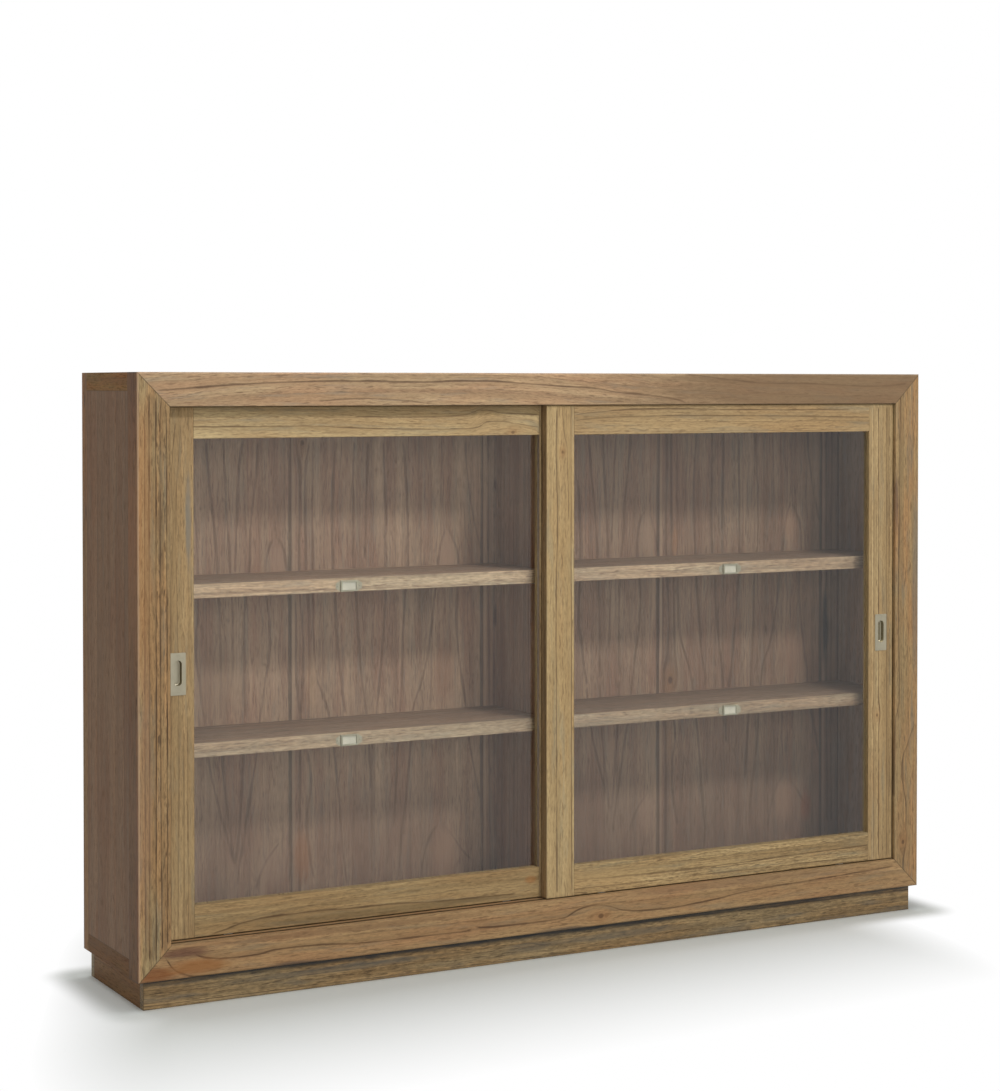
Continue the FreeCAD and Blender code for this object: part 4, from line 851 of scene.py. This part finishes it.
class BOOKCASE_OT_back(PieceOperator, bpy.types.Operator):
    """Finish the veneered back boards and their rails"""

    bl_idname = "bookcase.back"
    bl_label = "Back"

    def finish_pieces(self, kept):
        for leaf, glow in LEAF_LIGHTNESS.items():
            start = LEAF_START + (leaf - 1) * LEAF_PITCH
            rise = (leaf - 1) // 2 * 2 * LEAF_RISE
            courses = HEART_LEAF if leaf % 2 else ARCH_LEAF
            patches, knots = EVERY_LEAF_PATCHES + LEAF_PATCHES[leaf], LEAF_KNOTS.get(leaf, ())
            wood(f"back_board_{leaf}", "back", **UPRIGHT, gap=0.03, wobble=0.002, line=0.15, band=0.6, wash=0.4,
                 joint=0.8, tone=(glow, glow, glow * 0.98),
                 lines=[(4.6, 0.52, 0, *moved(row, rise, start)) for row in courses],
                 patches=[(along, across + start, *rest) for along, across, *rest in patches],
                 knots=[(along, across + start, size) for along, across, size in knots])
        for node in BACK_RAILS:
            wood(node, "back", gap=0.02)


class BOOKCASE_OT_shelves(PieceOperator, bpy.types.Operator):
    """Finish the four shelves with their pale front edges"""

    bl_idname = "bookcase.shelves"
    bl_label = "Shelves"

    def finish_pieces(self, kept):
        for node, glow in SHELVES.items():
            wood(node, "shelf", across="Y", gap=0.02, line=0.4, fibre=2.3, pore=0.75, lipping="edge", joint=0.1,
                 tone=(glow, glow, glow))


class BOOKCASE_OT_plinth(PieceOperator, bpy.types.Operator):
    """Finish the plinth"""

    bl_idname = "bookcase.plinth"
    bl_label = "Plinth"

    def finish_pieces(self, kept):
        wood_all(PLINTH_BOARDS, tones="plinth")


class BOOKCASE_OT_doors(PieceOperator, bpy.types.Operator):
    """Finish the wood of both doors"""

    bl_idname = "bookcase.doors"
    bl_label = "Doors"

    def finish_pieces(self, kept):
        wood_all(DOOR_BOARDS, tones="door")
        for side in ("left", "right"):
            wood(side + "_door_glazing_beads", "door", **UPRIGHT, gap=0.01)


class BOOKCASE_OT_glass(PieceOperator, bpy.types.Operator):
    """Finish both panes"""

    bl_idname = "bookcase.glass"
    bl_label = "Glass"

    def finish_pieces(self, kept):
        material, n, output = new_material("clear_glass")
        place = n.place()
        smear = n.ramp(n.noise(n.vector("MULTIPLY", place, (6, 6, 4)), 3), 0.4, 0.8)
        clean = tuple(kept.fittings.glass)
        tint = n.mix(smear, clean, tuple(c * 0.96 for c in clean))
        pane = principled(n, output, base_color=tint, roughness=0, transmission_weight=1, ior=1.36)
        clear = n.add("BsdfTransparent", (*kept.fittings.glass, 1))
        path = n.add("LightPath").outputs
        through = n.math("MAXIMUM", path["Is Shadow Ray"], path["Is Diffuse Ray"])
        mixed = n.add("MixShader", through, pane.outputs[0], clear.outputs[0])
        n.feed(output, "Surface", mixed.outputs[0])
        for side in ("left", "right"):
            dress(side + "_door_glass", material)


class BOOKCASE_OT_pulls(PieceOperator, bpy.types.Operator):
    """Finish the flush pulls, label holders, screws and pins"""

    bl_idname = "bookcase.pulls"
    bl_label = "Pulls and Label Holders"

    def finish_pieces(self, kept):
        nickel = satin("satin_nickel", "nickel", (260, 260, 2600), 0.36, 0.2, metallic=1)
        steel = satin("plain_steel", "steel", (900, 900, 900), 0.3, 0.15, metallic=1)
        for node in ("label_holders", "label_pins", "left_door_pull", "right_door_pull", "left_door_pull_screws",
                     "right_door_pull_screws"):
            dress(node, nickel)
        for node in ("shelf_pins", "left_door_wheel_axles", "right_door_wheel_axles"):
            dress(node, steel)


class BOOKCASE_OT_labels(PieceOperator, bpy.types.Operator):
    """Finish the blank label cards"""

    bl_idname = "bookcase.labels"
    bl_label = "Label Cards"

    def finish_pieces(self, kept):
        card = satin("blank_card", "card", (1400, 1400, 1400), 0.85, 0.1, worn=0.9, clear=0.2)
        dress("label_cards", card)


class BOOKCASE_OT_sliding_gear(PieceOperator, bpy.types.Operator):
    """Finish the tracks, wheels and housings"""

    bl_idname = "bookcase.sliding_gear"
    bl_label = "Sliding Gear"

    def finish_pieces(self, kept):
        bronze = satin("bronze_track", "bronze", (20, 900, 900), 0.4, 0.2, metallic=1)
        dress("sill_tracks", bronze)
        nylon = satin("turned_nylon", "nylon", (700, 700, 700), 0.42, 0.1)
        moulded = satin("moulded_housing", "housing", (500, 500, 500), 0.5, 0.1)
        for side in ("left", "right"):
            dress(side + "_door_wheel_housings", moulded)
            for end in ("left", "right"):
                dress(f"{side}_door_wheel_{end}", nylon)


FLOOR_STEPS = 12
KEY_LAMP = ((0.68, -3.2, 3.35), (0, 0, 0.6), 0.45)  # place, target and size in metres
FILL_LAMP = ((-1.2, -7, 1.7), (0, 0, 0.6), 3)
OVERHEAD_LAMP = ((0, -0.2, 4.6), (0, 0, 0), 5)


def aim(thing, target):
    """Points a lamp at a place."""
    thing.rotation_euler = (Vector(target) - thing.location).to_track_quat("-Z", "Y").to_euler()


class BOOKCASE_OT_stage(PieceOperator, bpy.types.Operator):
    """Set up the floor, the lights, the pale surround and the camera"""

    bl_idname = "bookcase.stage"
    bl_label = "Stage"

    def finish_pieces(self, kept):
        stage = kept.stage
        self.make_floor(stage)
        floor = bpy.data.objects["floor"]
        self.spare(self.make_lamp("key_lamp", *KEY_LAMP, stage.key), floor)
        fill = self.make_lamp("fill_lamp", *FILL_LAMP, stage.fill)
        fill.visible_glossy = False
        fill.visible_transmission = False
        self.spare(fill, floor)
        self.make_lamp("overhead_lamp", *OVERHEAD_LAMP, stage.overhead)
        self.make_surround(stage)
        self.make_camera(stage)

    def make_floor(self, stage):
        """A pale floor that keeps the shadow near the bookcase and fades to white."""
        row = FLOOR_STEPS + 1
        places = [stage.floor_reach * (2 * i / FLOOR_STEPS - 1) for i in range(row)]
        corners = [(x, y, 0) for y in places for x in places]
        faces = [(a, a + 1, a + row + 1, a + row)
                 for j in range(FLOOR_STEPS) for a in range(j * row, j * row + FLOOR_STEPS)]
        mesh = bpy.data.meshes.new("floor")
        mesh.from_pydata(corners, [], faces)
        floor = bpy.data.objects.new("floor", mesh)
        bpy.context.scene.collection.objects.link(floor)
        material, n, output = new_material("studio_floor")
        place = n.place()
        mottle = n.noise(n.vector("MULTIPLY", place, (3, 3, 3)), 3)
        tint = n.mix(n.ramp(mottle, 0.3, 0.7), tuple(c * 0.99 for c in stage.floor), tuple(stage.floor))
        lit = n.add("BsdfDiffuse", tint)
        white = n.add("Emission", (1, 1, 1, 1), 1)
        x, y, _ = n.split(place)
        left = (y.scaled(stage.left_slant, -stage.left_start) - x) / stage.left_fade
        right = (x - stage.right_start) / stage.right_fade
        front = (x.scaled(stage.front_slant, -stage.front_start) - y) / stage.front_fade
        back = (y - stage.back_start) / stage.back_fade
        beyond = n.join(n.math("MAXIMUM", left, right), n.math("MAXIMUM", front, back), 0)
        beyond = n.vector("MAXIMUM", beyond, (0, 0, 0))
        far = n.ramp(n.vector("LENGTH", beyond), 0, 1, smooth=False)
        outside = n.vector("SUBTRACT", n.vector("ABSOLUTE", place), (CAD_BOX[1][0], CAD_BOX[1][1], 0))
        outside = n.vector("LENGTH", n.vector("MAXIMUM", outside, (0, 0, 0)))
        seen = far * n.ramp(outside, 0.02, stage.fade_near) * self.straight_or_reflected(n)
        mixed = n.add("MixShader", seen, lit.outputs[0], white.outputs[0])
        n.feed(output, "Surface", mixed.outputs[0])
        mesh.materials.append(material)

    def straight_or_reflected(self, n):
        """1 for what is seen straight, in a reflection or through glass, and 0 for the light on the pieces."""
        path = n.add("LightPath").outputs
        return n.math("MAXIMUM", path["Is Camera Ray"],
                      n.math("MAXIMUM", path["Is Glossy Ray"], path["Is Transmission Ray"]))

    def make_lamp(self, name, place, target, size, power):
        """A square soft lamp."""
        data = bpy.data.lights.new(name, "AREA")
        data.size = size
        data.energy = power
        lamp = bpy.data.objects.new(name, data)
        lamp.location = place
        aim(lamp, target)
        bpy.context.scene.collection.objects.link(lamp)
        return lamp

    def spare(self, lamp, thing):
        """Keeps a lamp's light off one object."""
        spared = bpy.data.collections.new(lamp.name + "_spared")
        spared.objects.link(thing)
        spared.collection_objects[0].light_linking.link_state = "EXCLUDE"
        lamp.light_linking.receiver_collection = spared

    def make_surround(self, stage):
        """White for the camera and for reflections, and a softer light on the pieces."""
        world = bpy.data.worlds.new("surround")
        bpy.context.scene.world = world
        world.use_nodes = True
        world.node_tree.nodes.clear()
        n = Nodes(world.node_tree)
        seen = self.straight_or_reflected(n)
        soft = n.add("Background", (1, 1, 1, 1), stage.sky)
        white = n.add("Background", (1, 1, 1, 1), 1)
        mixed = n.add("MixShader", seen, soft.outputs[0], white.outputs[0])
        output = n.add("OutputWorld")
        n.feed(output, "Surface", mixed.outputs[0])

    def make_camera(self, stage):
        """The camera at the height of the top, to the left of the middle."""
        data = bpy.data.cameras.new("camera")
        data.sensor_width = 36
        data.lens = stage.lens
        data.shift_y = stage.drop
        camera = bpy.data.objects.new("camera", data)
        camera.location = (stage.camera_x, stage.camera_y, stage.camera_z)
        camera.rotation_euler = (math.pi / 2 - stage.camera_dip, 0, -stage.camera_turn)
        bpy.context.scene.collection.objects.link(camera)
        bpy.context.scene.camera = camera
        bpy.context.scene.view_settings.view_transform = "Standard"


OPERATORS = (
    BOOKCASE_OT_stage,
    BOOKCASE_OT_front_frame,
    BOOKCASE_OT_sides,
    BOOKCASE_OT_case_boards,
    BOOKCASE_OT_back,
    BOOKCASE_OT_shelves,
    BOOKCASE_OT_plinth,
    BOOKCASE_OT_doors,
    BOOKCASE_OT_glass,
    BOOKCASE_OT_pulls,
    BOOKCASE_OT_labels,
    BOOKCASE_OT_sliding_gear,
)


class BOOKCASE_PT_pieces(bpy.types.Panel):
    """Lists the pieces and their settings"""

    bl_label = "Bookcase"
    bl_idname = "BOOKCASE_PT_pieces"
    bl_space_type = "VIEW_3D"
    bl_region_type = "UI"
    bl_category = "Bookcase"

    def draw(self, context):
        kept = settings()
        for operator in OPERATORS:
            self.layout.operator(operator.bl_idname)
        for name in (*TONES, "grain", "fittings", "stage"):
            box = self.layout.box()
            box.label(text=name.replace("_", " ").title())
            values = getattr(kept, name)
            for key in values.__annotations__:
                box.prop(values, key)


CLASSES = (WoodTones, GrainSizes, FittingTones, StageSettings, BookcaseSettings, *OPERATORS, BOOKCASE_PT_pieces)


def register():
    for cls in CLASSES:
        bpy.utils.register_class(cls)
    bpy.types.Scene.bookcase = PointerProperty(type=BookcaseSettings)
    for name, tones in TONES.items():
        group = getattr(settings(), name)
        for key, screen in zip(SHADES, tones):
            setattr(group, key, shade(*screen))


def unregister():
    del bpy.types.Scene.bookcase
    for cls in reversed(CLASSES):
        bpy.utils.unregister_class(cls)


def main():
    register()
    for operator in OPERATORS:
        area, name = operator.bl_idname.split(".")
        getattr(getattr(bpy.ops, area), name)()


if __name__ == "__main__":
    main()
